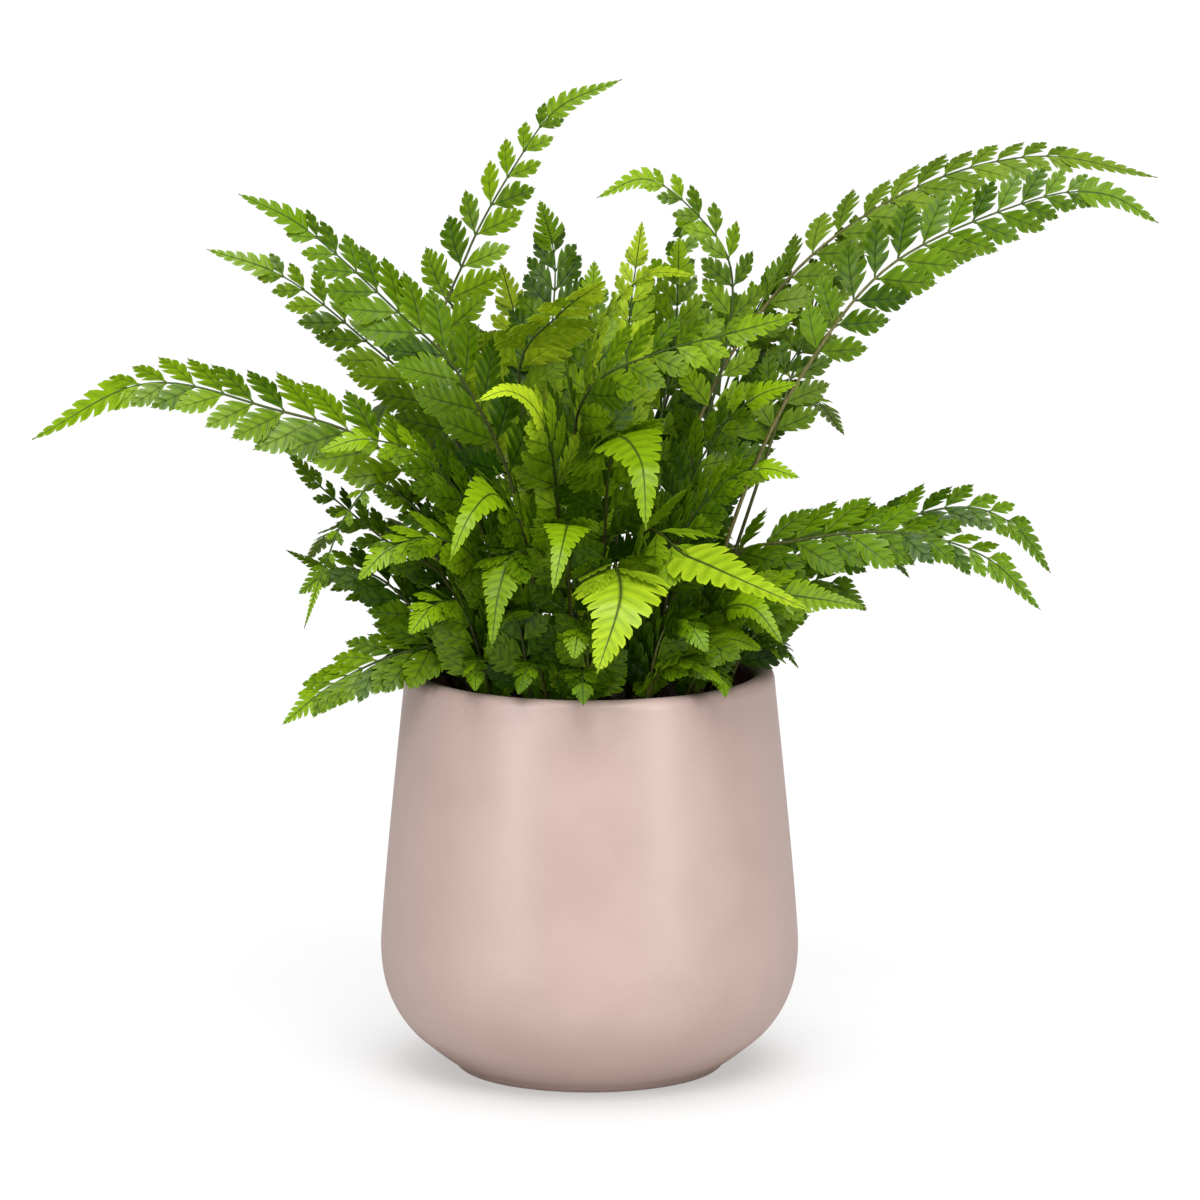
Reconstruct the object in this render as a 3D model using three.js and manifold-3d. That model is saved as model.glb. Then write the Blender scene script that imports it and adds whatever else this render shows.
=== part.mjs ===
// Potted athyrium spicatum: a fern with arching, toothed fronds in a round tapered pot.
// Millimetres, +Z up. The origin is the middle of the pot's underside, and the show side faces -Y.
import * as THREE from 'three';
import { mergeVertices } from 'three/addons/utils/BufferGeometryUtils.js';
import Module from 'manifold-3d';

// Pot
const POT_SIDES = 32;
const POT_HEIGHT = 162;
const UNDERSIDE_RADIUS = 52.5;
const FOOT_RADIUS = 54.6;
const FOOT_HEIGHT = 2;
const BOWL_START = [55.8, 3.4];
const BOWL_BEND_HEIGHT = 20;
const BOWL_STEPS = 4;
const BELLY_RADIUS = 84;
const BELLY_HEIGHT = 48;
const SHOULDER_RADIUS = 81;
const SHOULDER_HEIGHT = 90;
const RIM_RADIUS = 74.2;
const WALL = 8;
const FLOOR = 9;
// Lip over the top of the wall: millimetres in from the rim's radius and down from the pot's height
const LIP = [[0, 3], [2.6, 0], [6.4, 0.6], [8.4, 3.6]];
const NECK_RADIUS = 66.4;
const FLOOR_BEND = 2.2;

// Potting soil
const SOIL_TOP = 148;
const SOIL_SIDES = POT_SIDES / 2;
const SOIL_RINGS = [50, 26];
const SOIL_LUMP = 1.5;
const SOIL_CROWN = 3;
const SOIL_WAVES = { x: [0.31, 1.3], y: [0.27, -0.4] };
const STEM_FOOT = 134;
const GAP = 0.3;

// Stems
const STEM_BASE_RADIUS = 1.25;
const STEM_TIP_RADIUS = 0.5;
const STEM_TAPER = 0.7;
const BARE_STEPS = 3;
const CURVE_DIVISIONS = 200;
const SIDE_STEPS = 60;
const SIDE_PULL = 0.3;
const TEST_STEPS = 4;
const HOLE_SIDES = 3;
const HOLE_CLEARANCE = 0.4;
const HOLE_REACH = 12;

// Repeatable draws
const KEY_START = 0.5;
const KEY_WEIGHT = 12.9898;
const KEY_STEP = 65.243;
const NOISE_SCALE = 43758.5453;

// Leaflets: angles in degrees from the stem, up from the blade's plane and about the leaflet's rib
const ROOT_ANGLE = 53;
const TIP_ANGLE = 36;
const ANGLE_SPREAD = 5;
const TILT_SPREAD = 7;
const ROLL = 12;
const ROLL_SPREAD = 5;
const LENGTH_SPREAD = 0.07;
const DROOP = 0.16;
const BASE_WIDTH = 3;
const BASE_TAPER = 0.45;
const PAIR_POWER = 1.35;
const FIRST_PAIR = 0.3;
const PAIRED_SHARE = 0.8;
const TIP_GAP = 0.2;
const LENGTH_POWER = 2.6;
const BLADE_THICKNESS = 0.7;
const TEST_THICKNESS = 1.5;
const TEST_GROWTH = 0.4;
const ROOT_OVERLAP = 0.01;
const LONG_LEAFLET = 31;
const MIDDLE_LEAFLET = 22;

// A leaflet takes the first of these lengths, turns and tilts in which it is clear of all else
const LENGTHS = [1, 0.82, 0.64];
const TURNS = [0, 9, -9];
const TILTS = [0, 10, -10, 20, -20, 32, -32];

// Leaflet outlines from the root on: shares of the length along the rib, and across it
const LONG_LOBES = {
  near: [[0.32, -0.22], [0.47, -0.13], [0.69, -0.16]],
  far: [[0.3, 0.29], [0.47, 0.15], [0.69, 0.16]],
};
const MIDDLE_LOBES = {
  near: [[0.36, -0.24], [0.55, -0.16]],
  far: [[0.36, 0.3], [0.55, 0.18]],
};
const SHORT_LOBES = {
  near: [[0.45, -0.22]],
  far: [[0.42, 0.27]],
};
// Teeth of the blade at a frond's tip: share of the way to the tip, and millimetres across
const TIP_TEETH = [[0.34, 4.4], [0.46, 2], [0.64, 2.8]];

// Colour and roughness of each finish
const FINISHES = {
  ceramic: [0xdcc3ba, 0.5],
  soil: [0x2b1d17, 0.95],
  deep: [0x2f6318, 0.55],
  mid: [0x4a8420, 0.55],
  bright: [0x86b52c, 0.55],
  grey: [0x6f9150, 0.6],
};

// Fronds: the stem's points from its foot in the soil to its tip, the way the blade's upper side
// faces, the leaflet pairs, the longest leaflet, and the share of the stem that is bare
const FRONDS = [
  { name: 'tall_left', tone: 'mid', pairs: 8, longest: 27, bare: 0.38, face: [-0.3, -1, 0.3],
    path: [[-12, 6, 134], [-34, 16, 212], [-60, 27, 283], [-49, 35, 325], [-28, 40, 363], [-12, 43, 383],
      [13, 45, 394]] },
  { name: 'left_upper', tone: 'mid', pairs: 8, longest: 32, bare: 0.34, face: [0.2, -1, 0.7],
    path: [[-16, -4, 134], [-28, -12, 228], [-50, -18, 281], [-77, -20, 310], [-112, -22, 342],
      [-138, -24, 356]] },
  { name: 'left_second', tone: 'bright', pairs: 7, longest: 28, bare: 0.38, face: [0.1, -1, 0.7],
    path: [[-26, 2, 134], [-41, 6, 218], [-59, 12, 263], [-90, 20, 292], [-122, 22, 317],
      [-153, 24, 328]] },
  { name: 'long_left', tone: 'mid', pairs: 8, longest: 32, bare: 0.32, face: [0, -1, 1],
    path: [[-30, -12, 134], [-43, -20, 207], [-82, -30, 255], [-127, -36, 273], [-174, -40, 283],
      [-219, -42, 261]] },
  { name: 'left_mid', tone: 'deep', pairs: 5, longest: 19, bare: 0.36, face: [0.2, -1, 0.6],
    path: [[-36, 0, 134], [-55, -6, 195], [-83, -10, 217], [-109, -14, 240], [-121, -16, 255]] },
  { name: 'left_droop', tone: 'mid', pairs: 4, longest: 10, bare: 0.5, face: [-0.6, -1, 0.2],
    path: [[-40, -12, 134], [-55, -26, 210], [-80, -38, 242], [-94, -46, 234], [-103, -52, 215],
      [-112, -55, 188]] },
  { name: 'left_low_thin', tone: 'mid', pairs: 3, longest: 16, bare: 0.42, face: [0, -0.4, 1],
    path: [[-42, 8, 134], [-64, 12, 178], [-96, 16, 194], [-122, 18, 207]] },
  { name: 'left_over_rim', tone: 'deep', pairs: 7, longest: 25, bare: 0.28, face: [0, -1, 0.9],
    path: [[-30, -26, 134], [-43, -32, 175], [-72, -40, 176], [-100, -48, 165], [-121, -52, 149]] },
  { name: 'front_left_droop', tone: 'mid', pairs: 4, longest: 24, bare: 0.46, face: [-0.2, -1, 0.5],
    path: [[-16, -30, 134], [-22, -46, 206], [-29, -66, 220], [-35, -82, 208], [-38, -90, 186]] },
  { name: 'front_yellow', tone: 'bright', pairs: 4, longest: 30, bare: 0.44, face: [0, -1, 0.6],
    path: [[6, -24, 134], [9, -36, 196], [10, -60, 214], [12, -88, 205], [3, -100, 178]] },
  { name: 'front_bright', tone: 'bright', pairs: 5, longest: 30, bare: 0.42, face: [0, -0.8, 1],
    path: [[14, -18, 134], [20, -40, 220], [39, -65, 218], [62, -85, 211], [87, -98, 202]] },
  { name: 'centre_droop', tone: 'bright', pairs: 5, longest: 32, bare: 0.46, face: [0.1, -1, 0.6],
    path: [[4, -12, 134], [6, -25, 219], [10, -60, 263], [20, -92, 260], [22, -104, 235]] },
  { name: 'left_centre_droop', tone: 'mid', pairs: 5, longest: 28, bare: 0.44, face: [0.1, -1, 0.7],
    path: [[-18, -16, 134], [-22, -40, 209], [-35, -68, 242], [-45, -88, 240], [-54, -98, 222]] },
  { name: 'right_long_back', tone: 'grey', pairs: 8, longest: 27, bare: 0.46, face: [-0.2, -0.6, 0.9],
    path: [[16, 12, 134], [41, 15, 252], [77, 25, 313], [125, 32, 349], [178, 36, 364], [228, 40, 355]] },
  { name: 'right_long_front', tone: 'mid', pairs: 9, longest: 27, bare: 0.5, face: [0, -1, 0.35],
    path: [[30, -6, 134], [62, -10, 236], [88, -10, 288], [121, -8, 327], [175, -4, 351], [204, 0, 353],
      [226, 4, 341]] },
  { name: 'right_behind', tone: 'grey', pairs: 6, longest: 22, bare: 0.48, face: [-0.3, -1, 0.6],
    path: [[34, 8, 134], [67, 4, 236], [78, 8, 270], [93, 30, 310], [114, 48, 338], [143, 55, 351]] },
  { name: 'right_inner', tone: 'deep', pairs: 5, longest: 28, bare: 0.36, face: [-0.3, -0.8, -0.1],
    path: [[24, 8, 134], [40, 8, 221], [58, 10, 255], [75, 12, 276], [90, 14, 299], [99, 16, 313]] },
  { name: 'centre_right', tone: 'mid', pairs: 6, longest: 29, bare: 0.44, face: [0, -1, 0.6],
    path: [[2, -2, 134], [-6, -20, 242], [0, -45, 281], [26, -62, 298], [55, -70, 307], [82, -74, 315]] },
  { name: 'top_curl', tone: 'mid', pairs: 6, longest: 23, bare: 0.5, face: [0.4, -1, 0.4],
    path: [[12, 0, 134], [36, 0, 230], [53, 0, 285], [56, 0, 324], [40, -4, 348], [22, -8, 360],
      [3, -12, 353]] },
  { name: 'top_dark', tone: 'deep', pairs: 6, longest: 33, bare: 0.5, face: [0, -0.8, 0.6],
    path: [[-2, 14, 134], [-8, 22, 227], [-15, 34, 281], [-14, 46, 320], [-20, 40, 346]] },
  { name: 'top_back', tone: 'bright', pairs: 4, longest: 28, bare: 0.5, face: [0, -1, 0.5],
    path: [[-10, 22, 134], [-18, 35, 238], [-28, 52, 288], [-36, 60, 318]] },
  { name: 'right_low_back', tone: 'deep', pairs: 7, longest: 26, bare: 0.34, face: [0, -1, 1],
    path: [[40, 12, 134], [68, 12, 194], [105, 14, 213], [145, 14, 225], [169, 12, 219], [185, 10, 199]] },
  { name: 'right_low_front', tone: 'mid', pairs: 7, longest: 27, bare: 0.32, face: [0, -1, 0.9],
    path: [[36, -14, 134], [52, -22, 205], [83, -30, 219], [123, -36, 223], [156, -40, 214],
      [178, -42, 193]] },
  { name: 'right_rim', tone: 'mid', pairs: 4, longest: 24, bare: 0.46, face: [0.3, -1, 0.8],
    path: [[32, -26, 134], [44, -36, 192], [67, -46, 200], [91, -52, 199], [109, -55, 196]] },
  { name: 'front_right_rim', tone: 'mid', pairs: 4, longest: 27, bare: 0.4, face: [0, -1, 0.8],
    path: [[14, -36, 134], [20, -48, 172], [39, -58, 182], [55, -62, 185], [68, -64, 181]] },
  { name: 'front_mid', tone: 'mid', pairs: 4, longest: 26, bare: 0.44, face: [0, -1, 0.7],
    path: [[-4, -32, 134], [-8, -54, 204], [-8, -80, 232], [-10, -102, 230], [-14, -114, 212]] },
  { name: 'centre_left', tone: 'bright', pairs: 5, longest: 27, bare: 0.46, face: [0, -1, 0.8],
    path: [[-12, -10, 134], [-12, -30, 226], [-18, -52, 268], [-30, -70, 284], [-44, -82, 282]] },
  { name: 'centre_upper', tone: 'bright', pairs: 5, longest: 26, bare: 0.46, face: [0, -0.5, 1],
    path: [[-4, 4, 134], [-2, 0, 250], [4, -16, 300], [22, -32, 324], [42, -42, 326]] },
  { name: 'centre_low_right', tone: 'deep', pairs: 5, longest: 26, bare: 0.4, face: [0, -1, 0.9],
    path: [[24, -20, 134], [32, -34, 208], [48, -48, 240], [66, -60, 252], [82, -68, 250]] },
  { name: 'centre_low_left', tone: 'mid', pairs: 5, longest: 26, bare: 0.4, face: [0, -1, 0.9],
    path: [[-24, -22, 134], [-36, -42, 200], [-56, -62, 224], [-76, -76, 224], [-90, -84, 212]] },
  { name: 'mid_left', tone: 'deep', pairs: 5, longest: 27, bare: 0.38, face: [0.1, -1, 0.9],
    path: [[-24, -8, 134], [-40, -20, 214], [-62, -36, 250], [-86, -48, 262], [-106, -54, 258]] },
  { name: 'mid_right', tone: 'mid', pairs: 5, longest: 26, bare: 0.4, face: [-0.2, -1, 0.7],
    path: [[24, -6, 134], [35, -12, 222], [49, -22, 258], [65, -32, 276], [82, -38, 283]] },
  { name: 'back_long', tone: 'mid', pairs: 5, longest: 28, bare: 0.42, face: [0, 0.3, 1],
    path: [[2, 32, 134], [3, 54, 220], [4, 92, 270], [5, 140, 284], [7, 186, 258]] },
  { name: 'back_long_right', tone: 'deep', pairs: 5, longest: 28, bare: 0.42, face: [0, 0.3, 1],
    path: [[12, 28, 134], [22, 50, 226], [40, 88, 280], [58, 130, 294], [72, 170, 272]] },
  { name: 'back_long_left', tone: 'mid', pairs: 5, longest: 28, bare: 0.42, face: [0, 0.3, 1],
    path: [[-10, 32, 134], [-20, 56, 216], [-38, 94, 268], [-54, 136, 282], [-66, 176, 260]] },
  { name: 'back_right', tone: 'mid', pairs: 4, longest: 27, bare: 0.42, face: [0.1, 0.2, 1],
    path: [[24, 22, 134], [42, 44, 210], [68, 78, 250], [90, 110, 256], [106, 136, 236]] },
  { name: 'back_left', tone: 'deep', pairs: 4, longest: 27, bare: 0.42, face: [-0.1, 0.2, 1],
    path: [[-22, 20, 134], [-38, 42, 208], [-62, 76, 250], [-80, 108, 256], [-92, 134, 236]] },
  { name: 'back_low_right', tone: 'deep', pairs: 4, longest: 25, bare: 0.38, face: [0.1, 0.2, 1],
    path: [[34, 22, 134], [56, 38, 186], [88, 62, 208], [114, 82, 202], [132, 98, 182]] },
  { name: 'back_low_left', tone: 'mid', pairs: 4, longest: 25, bare: 0.38, face: [-0.1, 0.2, 1],
    path: [[-32, 20, 134], [-52, 38, 188], [-80, 60, 210], [-102, 80, 206], [-118, 96, 188]] },
  { name: 'back_low', tone: 'mid', pairs: 4, longest: 25, bare: 0.4, face: [0, 0.3, 1],
    path: [[-8, 44, 134], [-12, 64, 182], [-20, 102, 202], [-28, 140, 192], [-34, 166, 168]] },
  { name: 'back_low_middle', tone: 'bright', pairs: 4, longest: 24, bare: 0.4, face: [0.1, 0.3, 1],
    path: [[14, 42, 134], [22, 63, 184], [36, 98, 206], [50, 132, 198], [60, 157, 176]] },
  { name: 'back_upright_right', tone: 'deep', pairs: 4, longest: 26, bare: 0.48, face: [0.1, 0.8, 0.6],
    path: [[8, 18, 134], [18, 36, 236], [28, 58, 296], [38, 84, 328], [44, 108, 336]] },
  { name: 'back_upright_left', tone: 'mid', pairs: 4, longest: 26, bare: 0.48, face: [-0.1, 0.8, 0.6],
    path: [[-16, 14, 134], [-30, 34, 226], [-46, 62, 280], [-58, 88, 306], [-66, 108, 312]] },
  { name: 'front_low_left', tone: 'mid', pairs: 4, longest: 26, bare: 0.3, face: [-0.2, -1, 0.7],
    path: [[-34, -38, 134], [-42, -46, 172], [-50, -56, 196], [-60, -68, 200], [-70, -80, 190]] },
  { name: 'front_low_inner_left', tone: 'deep', pairs: 4, longest: 24, bare: 0.28, face: [-0.1, 0.3, 1],
    path: [[-20, -46, 134], [-24, -54, 168], [-28, -64, 192], [-34, -76, 196], [-40, -88, 184]] },
  { name: 'front_low_middle', tone: 'mid', pairs: 4, longest: 24, bare: 0.28, face: [0, -1, 0.6],
    path: [[0, -50, 134], [0, -58, 166], [-2, -68, 188], [-4, -80, 192], [-6, -90, 182]] },
  { name: 'front_low_inner_right', tone: 'deep', pairs: 4, longest: 24, bare: 0.28, face: [0.1, -1, 0.6],
    path: [[20, -46, 134], [24, -54, 168], [30, -64, 190], [38, -76, 194], [46, -86, 184]] },
  { name: 'front_low_right', tone: 'mid', pairs: 4, longest: 24, bare: 0.3, face: [0.2, -1, 0.7],
    path: [[36, -36, 134], [43, -44, 170], [52, -54, 194], [64, -66, 198], [76, -76, 185]] },
  { name: 'right_low_inner', tone: 'deep', pairs: 4, longest: 26, bare: 0.3, face: [0.2, -1, 0.8],
    path: [[48, -14, 134], [60, -17, 170], [76, -20, 195], [94, -23, 201], [110, -26, 190]] },
  { name: 'left_low_inner', tone: 'deep', pairs: 4, longest: 26, bare: 0.3, face: [0, -1, 0.8],
    path: [[-50, -4, 134], [-61, -4, 172], [-80, -6, 197], [-100, -8, 204], [-116, -10, 194]] },
  { name: 'back_skirt_right', tone: 'mid', pairs: 4, longest: 26, bare: 0.3, face: [0.1, -0.3, 1],
    path: [[28, 42, 134], [35, 54, 170], [46, 70, 192], [60, 86, 196], [72, 98, 186]] },
  { name: 'back_skirt_left', tone: 'mid', pairs: 4, longest: 26, bare: 0.3, face: [-0.2, 0.7, 0.9],
    path: [[-26, 44, 134], [-34, 56, 170], [-44, 72, 192], [-56, 88, 196], [-66, 100, 186]] },
  { name: 'left_back_low', tone: 'mid', pairs: 4, longest: 25, bare: 0.3, face: [-0.5, 0.3, 1],
    path: [[-46, 22, 134], [-58, 27, 170], [-73, 34, 194], [-90, 42, 200], [-104, 50, 190]] },
  { name: 'upper_flat', tone: 'bright', pairs: 4, longest: 32, bare: 0.56, face: [0, 0.3, 1],
    path: [[-6, 12, 134], [-19, 20, 220], [-28, 12, 280], [-12, -24, 308], [6, -58, 326]] },
  { name: 'upper_young', tone: 'bright', pairs: 4, longest: 20, bare: 0.62, face: [-0.1, -1, 0.3],
    path: [[8, 10, 134], [12, 16, 240], [16, 20, 300], [21, 18, 340]] },
  { name: 'upper_middle', tone: 'mid', pairs: 4, longest: 27, bare: 0.58, face: [0.1, -1, 0.2],
    path: [[16, 16, 134], [24, 26, 230], [34, 32, 290], [36, 34, 332]] },
  { name: 'upper_right', tone: 'deep', pairs: 4, longest: 28, bare: 0.55, face: [-0.2, -1, 0.4],
    path: [[26, 2, 134], [44, 16, 230], [60, 26, 288], [82, 34, 328]] },
  { name: 'upper_inner', tone: 'mid', pairs: 4, longest: 28, bare: 0.55, face: [0, -1, 0.3],
    path: [[-2, 2, 134], [2, 8, 230], [0, 14, 284], [2, 20, 324]] },
];

const radians = THREE.MathUtils.degToRad;
const wasm = await Module();
wasm.setup();

// Booleans

function solidFrom(points, triangles) {
  const vertProperties = new Float32Array(points.flatMap((p) => [p.x, p.y, p.z]));
  const triVerts = new Uint32Array(triangles.flat());
  return new wasm.Manifold(new wasm.Mesh({ numProp: 3, vertProperties, triVerts }));
}

function solidFromGeometry(geometry) {
  const plain = geometry.clone();
  plain.deleteAttribute('normal');
  plain.deleteAttribute('uv');
  const merged = mergeVertices(plain, 1e-3);
  const vertProperties = new Float32Array(merged.attributes.position.array);
  const triVerts = new Uint32Array(merged.index.array);
  return new wasm.Manifold(new wasm.Mesh({ numProp: 3, vertProperties, triVerts }));
}

function geometryFromSolid(solid) {
  const mesh = solid.getMesh();
  const geometry = new THREE.BufferGeometry();
  geometry.setAttribute('position', new THREE.BufferAttribute(mesh.vertProperties, 3));
  geometry.setIndex(new THREE.BufferAttribute(mesh.triVerts, 1));
  return geometry;
}

function geometryFrom(points, triangles) {
  const geometry = new THREE.BufferGeometry().setFromPoints(points);
  geometry.setIndex(triangles.flat());
  return geometry;
}

// Pot and soil

// Inner wall from below the lip to the middle of the floor, moved inwards by a gap
function innerWall(gap) {
  return [
    new THREE.Vector2(NECK_RADIUS - gap, SOIL_TOP),
    new THREE.Vector2(SHOULDER_RADIUS - WALL - gap, SHOULDER_HEIGHT),
    new THREE.Vector2(BELLY_RADIUS - WALL - gap, BELLY_HEIGHT),
    new THREE.Vector2(BELLY_RADIUS - FLOOR_BEND * WALL - gap, FLOOR + WALL),
    new THREE.Vector2(FOOT_RADIUS - gap, FLOOR + gap),
    new THREE.Vector2(0, FLOOR + gap),
  ];
}

function potGeometry() {
  const bowl = new THREE.QuadraticBezierCurve(
    new THREE.Vector2(...BOWL_START),
    new THREE.Vector2(BELLY_RADIUS, BOWL_BEND_HEIGHT),
    new THREE.Vector2(BELLY_RADIUS, BELLY_HEIGHT),
  );
  const profile = [
    new THREE.Vector2(0, 0),
    new THREE.Vector2(UNDERSIDE_RADIUS, 0),
    new THREE.Vector2(FOOT_RADIUS, FOOT_HEIGHT),
    ...bowl.getPoints(BOWL_STEPS),
    new THREE.Vector2(SHOULDER_RADIUS, SHOULDER_HEIGHT),
    ...LIP.map(([inwards, down]) => new THREE.Vector2(RIM_RADIUS - inwards, POT_HEIGHT - down)),
    ...innerWall(0),
  ];
  return new THREE.LatheGeometry(profile, POT_SIDES).rotateX(Math.PI / 2);
}

function soilSolid(holes) {
  const wall = innerWall(GAP).reverse();
  const top = [...SOIL_RINGS, 0].map((radius) => new THREE.Vector2(radius, SOIL_TOP));
  const geometry = new THREE.LatheGeometry([...wall, ...top], SOIL_SIDES).rotateX(Math.PI / 2);
  const place = geometry.attributes.position;
  const [widest] = SOIL_RINGS;
  const wave = (value, [rate, start]) => Math.sin(rate * value + start);
  for (let i = 0; i < place.count; i += 1) {
    const [x, y] = [place.getX(i), place.getY(i)];
    const radius = Math.hypot(x, y);
    if (place.getZ(i) > SOIL_TOP - GAP && radius < widest + GAP) {
      const lump = SOIL_LUMP * wave(x, SOIL_WAVES.x) * wave(y, SOIL_WAVES.y);
      place.setZ(i, SOIL_TOP + SOIL_CROWN * (1 - radius / NECK_RADIUS) + lump);
    }
  }
  return holes.reduce((soil, hole) => soil.subtract(hole), solidFromGeometry(geometry));
}

// Stems

// A repeatable draw between -1 and 1
function draw(...keys) {
  const mixed = keys.reduce((sum, key, i) => sum + key * (KEY_WEIGHT + KEY_STEP * i), KEY_START);
  const noise = Math.sin(mixed) * NOISE_SCALE;
  return 2 * (noise - Math.floor(noise)) - 1;
}

// The directions of a stem's upper side at even steps of its length, carried from the tip down. At each
// step it is pulled towards the facing's part square to the stem, or away from that where the stem has
// turned past the facing, so that the stem nowhere turns over.
function upperSides(curve, face) {
  const facing = new THREE.Vector3(...face).normalize();
  const sides = [];
  let up = facing;
  for (let i = SIDE_STEPS; i >= 0; i -= 1) {
    const along = curve.getTangentAt(i / SIDE_STEPS);
    const wanted = facing.clone().addScaledVector(along, -facing.dot(along));
    const carried = up.clone().addScaledVector(along, -up.dot(along)).normalize();
    const pull = carried.dot(wanted) < 0 ? -SIDE_PULL : SIDE_PULL;
    up = carried.addScaledVector(wanted, pull).normalize();
    sides.unshift(up);
  }
  return sides;
}

// The stem's length, and its middle, directions and radius at any share of that length
function stemOf(path, face) {
  const points = path.map((point) => new THREE.Vector3(...point));
  const curve = new THREE.CatmullRomCurve3(points, false, 'catmullrom');
  curve.arcLengthDivisions = CURVE_DIVISIONS;
  const sides = upperSides(curve, face);
  const frame = (share) => {
    const centre = curve.getPointAt(share);
    const along = curve.getTangentAt(share);
    const step = Math.min(Math.floor(share * SIDE_STEPS), SIDE_STEPS - 1);
    const up = sides[step].clone().lerp(sides[step + 1], share * SIDE_STEPS - step);
    up.addScaledVector(along, -up.dot(along)).normalize();
    const side = new THREE.Vector3().crossVectors(along, up);
    const radius = THREE.MathUtils.lerp(STEM_BASE_RADIUS, STEM_TIP_RADIUS, share ** STEM_TAPER);
    return { centre, along, up, side, radius };
  };
  return { total: curve.getLength(), frame };
}

// Three corners of a stem's section: a ridge on the upper side, and right and left below it
function sectionCorners({ centre, up, side, radius }) {
  const low = centre.clone().addScaledVector(up, -radius / 2);
  return [
    centre.clone().addScaledVector(up, radius),
    low.clone().addScaledVector(side, radius * Math.cos(Math.PI / 6)),
    low.clone().addScaledVector(side, -radius * Math.cos(Math.PI / 6)),
  ];
}

function quad(triangles, a, b, c, d) {
  triangles.push([a, b, c], [a, c, d]);
}

// A closed piece of stem between two of its sections, for finding out what would touch it
function stemTestSolid(frames) {
  const points = frames.flatMap(sectionCorners);
  const triangles = [];
  for (let i = 0; i + 1 < frames.length; i += 1) {
    for (let k = 0; k < 3; k += 1) {
      const next = (k + 1) % 3;
      quad(triangles, 3 * i + k, 3 * i + next, 3 * i + 3 + next, 3 * i + 3 + k);
    }
  }
  const end = points.length - 3;
  triangles.push([0, 2, 1], [end, end + 1, end + 2]);
  return solidFrom(points, triangles);
}

// A plain hole for a stem's foot, which follows the stem to above the soil
function holeSolid(stem) {
  const radius = STEM_BASE_RADIUS + HOLE_CLEARANCE / Math.cos(Math.PI / HOLE_SIDES);
  const reach = (SOIL_TOP - STEM_FOOT + HOLE_REACH) / stem.total;
  const points = [];
  const triangles = [];
  const shares = [0, reach];
  shares.forEach((share, i) => {
    const { centre, along, up, side } = stem.frame(share);
    const middle = centre.addScaledVector(along, i === 0 ? -GAP : 0);
    for (let k = 0; k < HOLE_SIDES; k += 1) {
      const turn = 2 * Math.PI * k / HOLE_SIDES;
      points.push(middle.clone().addScaledVector(up, radius * Math.cos(turn))
        .addScaledVector(side, radius * Math.sin(turn)));
    }
  });
  const last = (shares.length - 1) * HOLE_SIDES;
  for (let k = 0; k < HOLE_SIDES; k += 1) {
    const next = (k + 1) % HOLE_SIDES;
    for (let base = 0; base < last; base += HOLE_SIDES) {
      quad(triangles, base + k, base + next, base + HOLE_SIDES + next, base + HOLE_SIDES + k);
    }
  }
  for (let k = 1; k + 1 < HOLE_SIDES; k += 1) {
    triangles.push([0, k + 1, k], [last, last + k, last + k + 1]);
  }
  return solidFrom(points, triangles);
}

// Leaflets

// The middle of each leaflet pair and the ends of its root on the stem, as shares of the stem
function pairPlaces(frond, total) {
  return Array.from({ length: frond.pairs }, (_, j) => {
    const step = PAIRED_SHARE * (j + FIRST_PAIR) / frond.pairs;
    const along = 1 - (1 - step) ** PAIR_POWER;
    const middle = frond.bare + (1 - frond.bare) * along;
    const half = BASE_WIDTH * (1 - BASE_TAPER * along) / 2 / total;
    return { along, middle, start: middle - half, end: middle + half };
  });
}

// A leaflet's root, its length, and its directions along the rib, across it and out of its face
function leafletPlace(plan, pairIndex, side, choice) {
  const { frond, index, stem, pairs } = plan;
  const pair = pairs[pairIndex];
  const vary = (kind) => draw(index + 1, 2 * pairIndex + side + 3, kind);
  const { centre, along, up, side: right } = stem.frame(pair.middle);
  const opening = ROOT_ANGLE + (TIP_ANGLE - ROOT_ANGLE) * pair.along;
  const angle = radians(opening + ANGLE_SPREAD * vary(1) + choice.turn);
  const tilt = radians(TILT_SPREAD * vary(2) + choice.tilt);
  const roll = radians(ROLL + ROLL_SPREAD * vary(3));
  const shrink = (1 - pair.along ** LENGTH_POWER) * (1 + LENGTH_SPREAD * vary(4));
  const outward = right.clone().multiplyScalar(side);
  const sideways = outward.clone().multiplyScalar(Math.cos(tilt)).addScaledVector(up, Math.sin(tilt));
  const raised = up.clone().multiplyScalar(Math.cos(tilt)).addScaledVector(outward, -Math.sin(tilt));
  const rib = along.clone().multiplyScalar(Math.cos(angle)).addScaledVector(sideways, Math.sin(angle));
  const flat = along.clone().multiplyScalar(Math.sin(angle)).addScaledVector(sideways, -Math.cos(angle));
  const across = flat.clone().multiplyScalar(Math.cos(roll)).addScaledVector(raised, Math.sin(roll));
  const out = raised.clone().multiplyScalar(Math.cos(roll)).addScaledVector(flat, -Math.sin(roll));
  return { root: centre, rib, across, out, length: frond.longest * shrink * choice.length };
}

function lobesFor(length) {
  if (length >= LONG_LEAFLET) {
    return LONG_LOBES;
  }
  return length >= MIDDLE_LEAFLET ? MIDDLE_LOBES : SHORT_LOBES;
}

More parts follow.
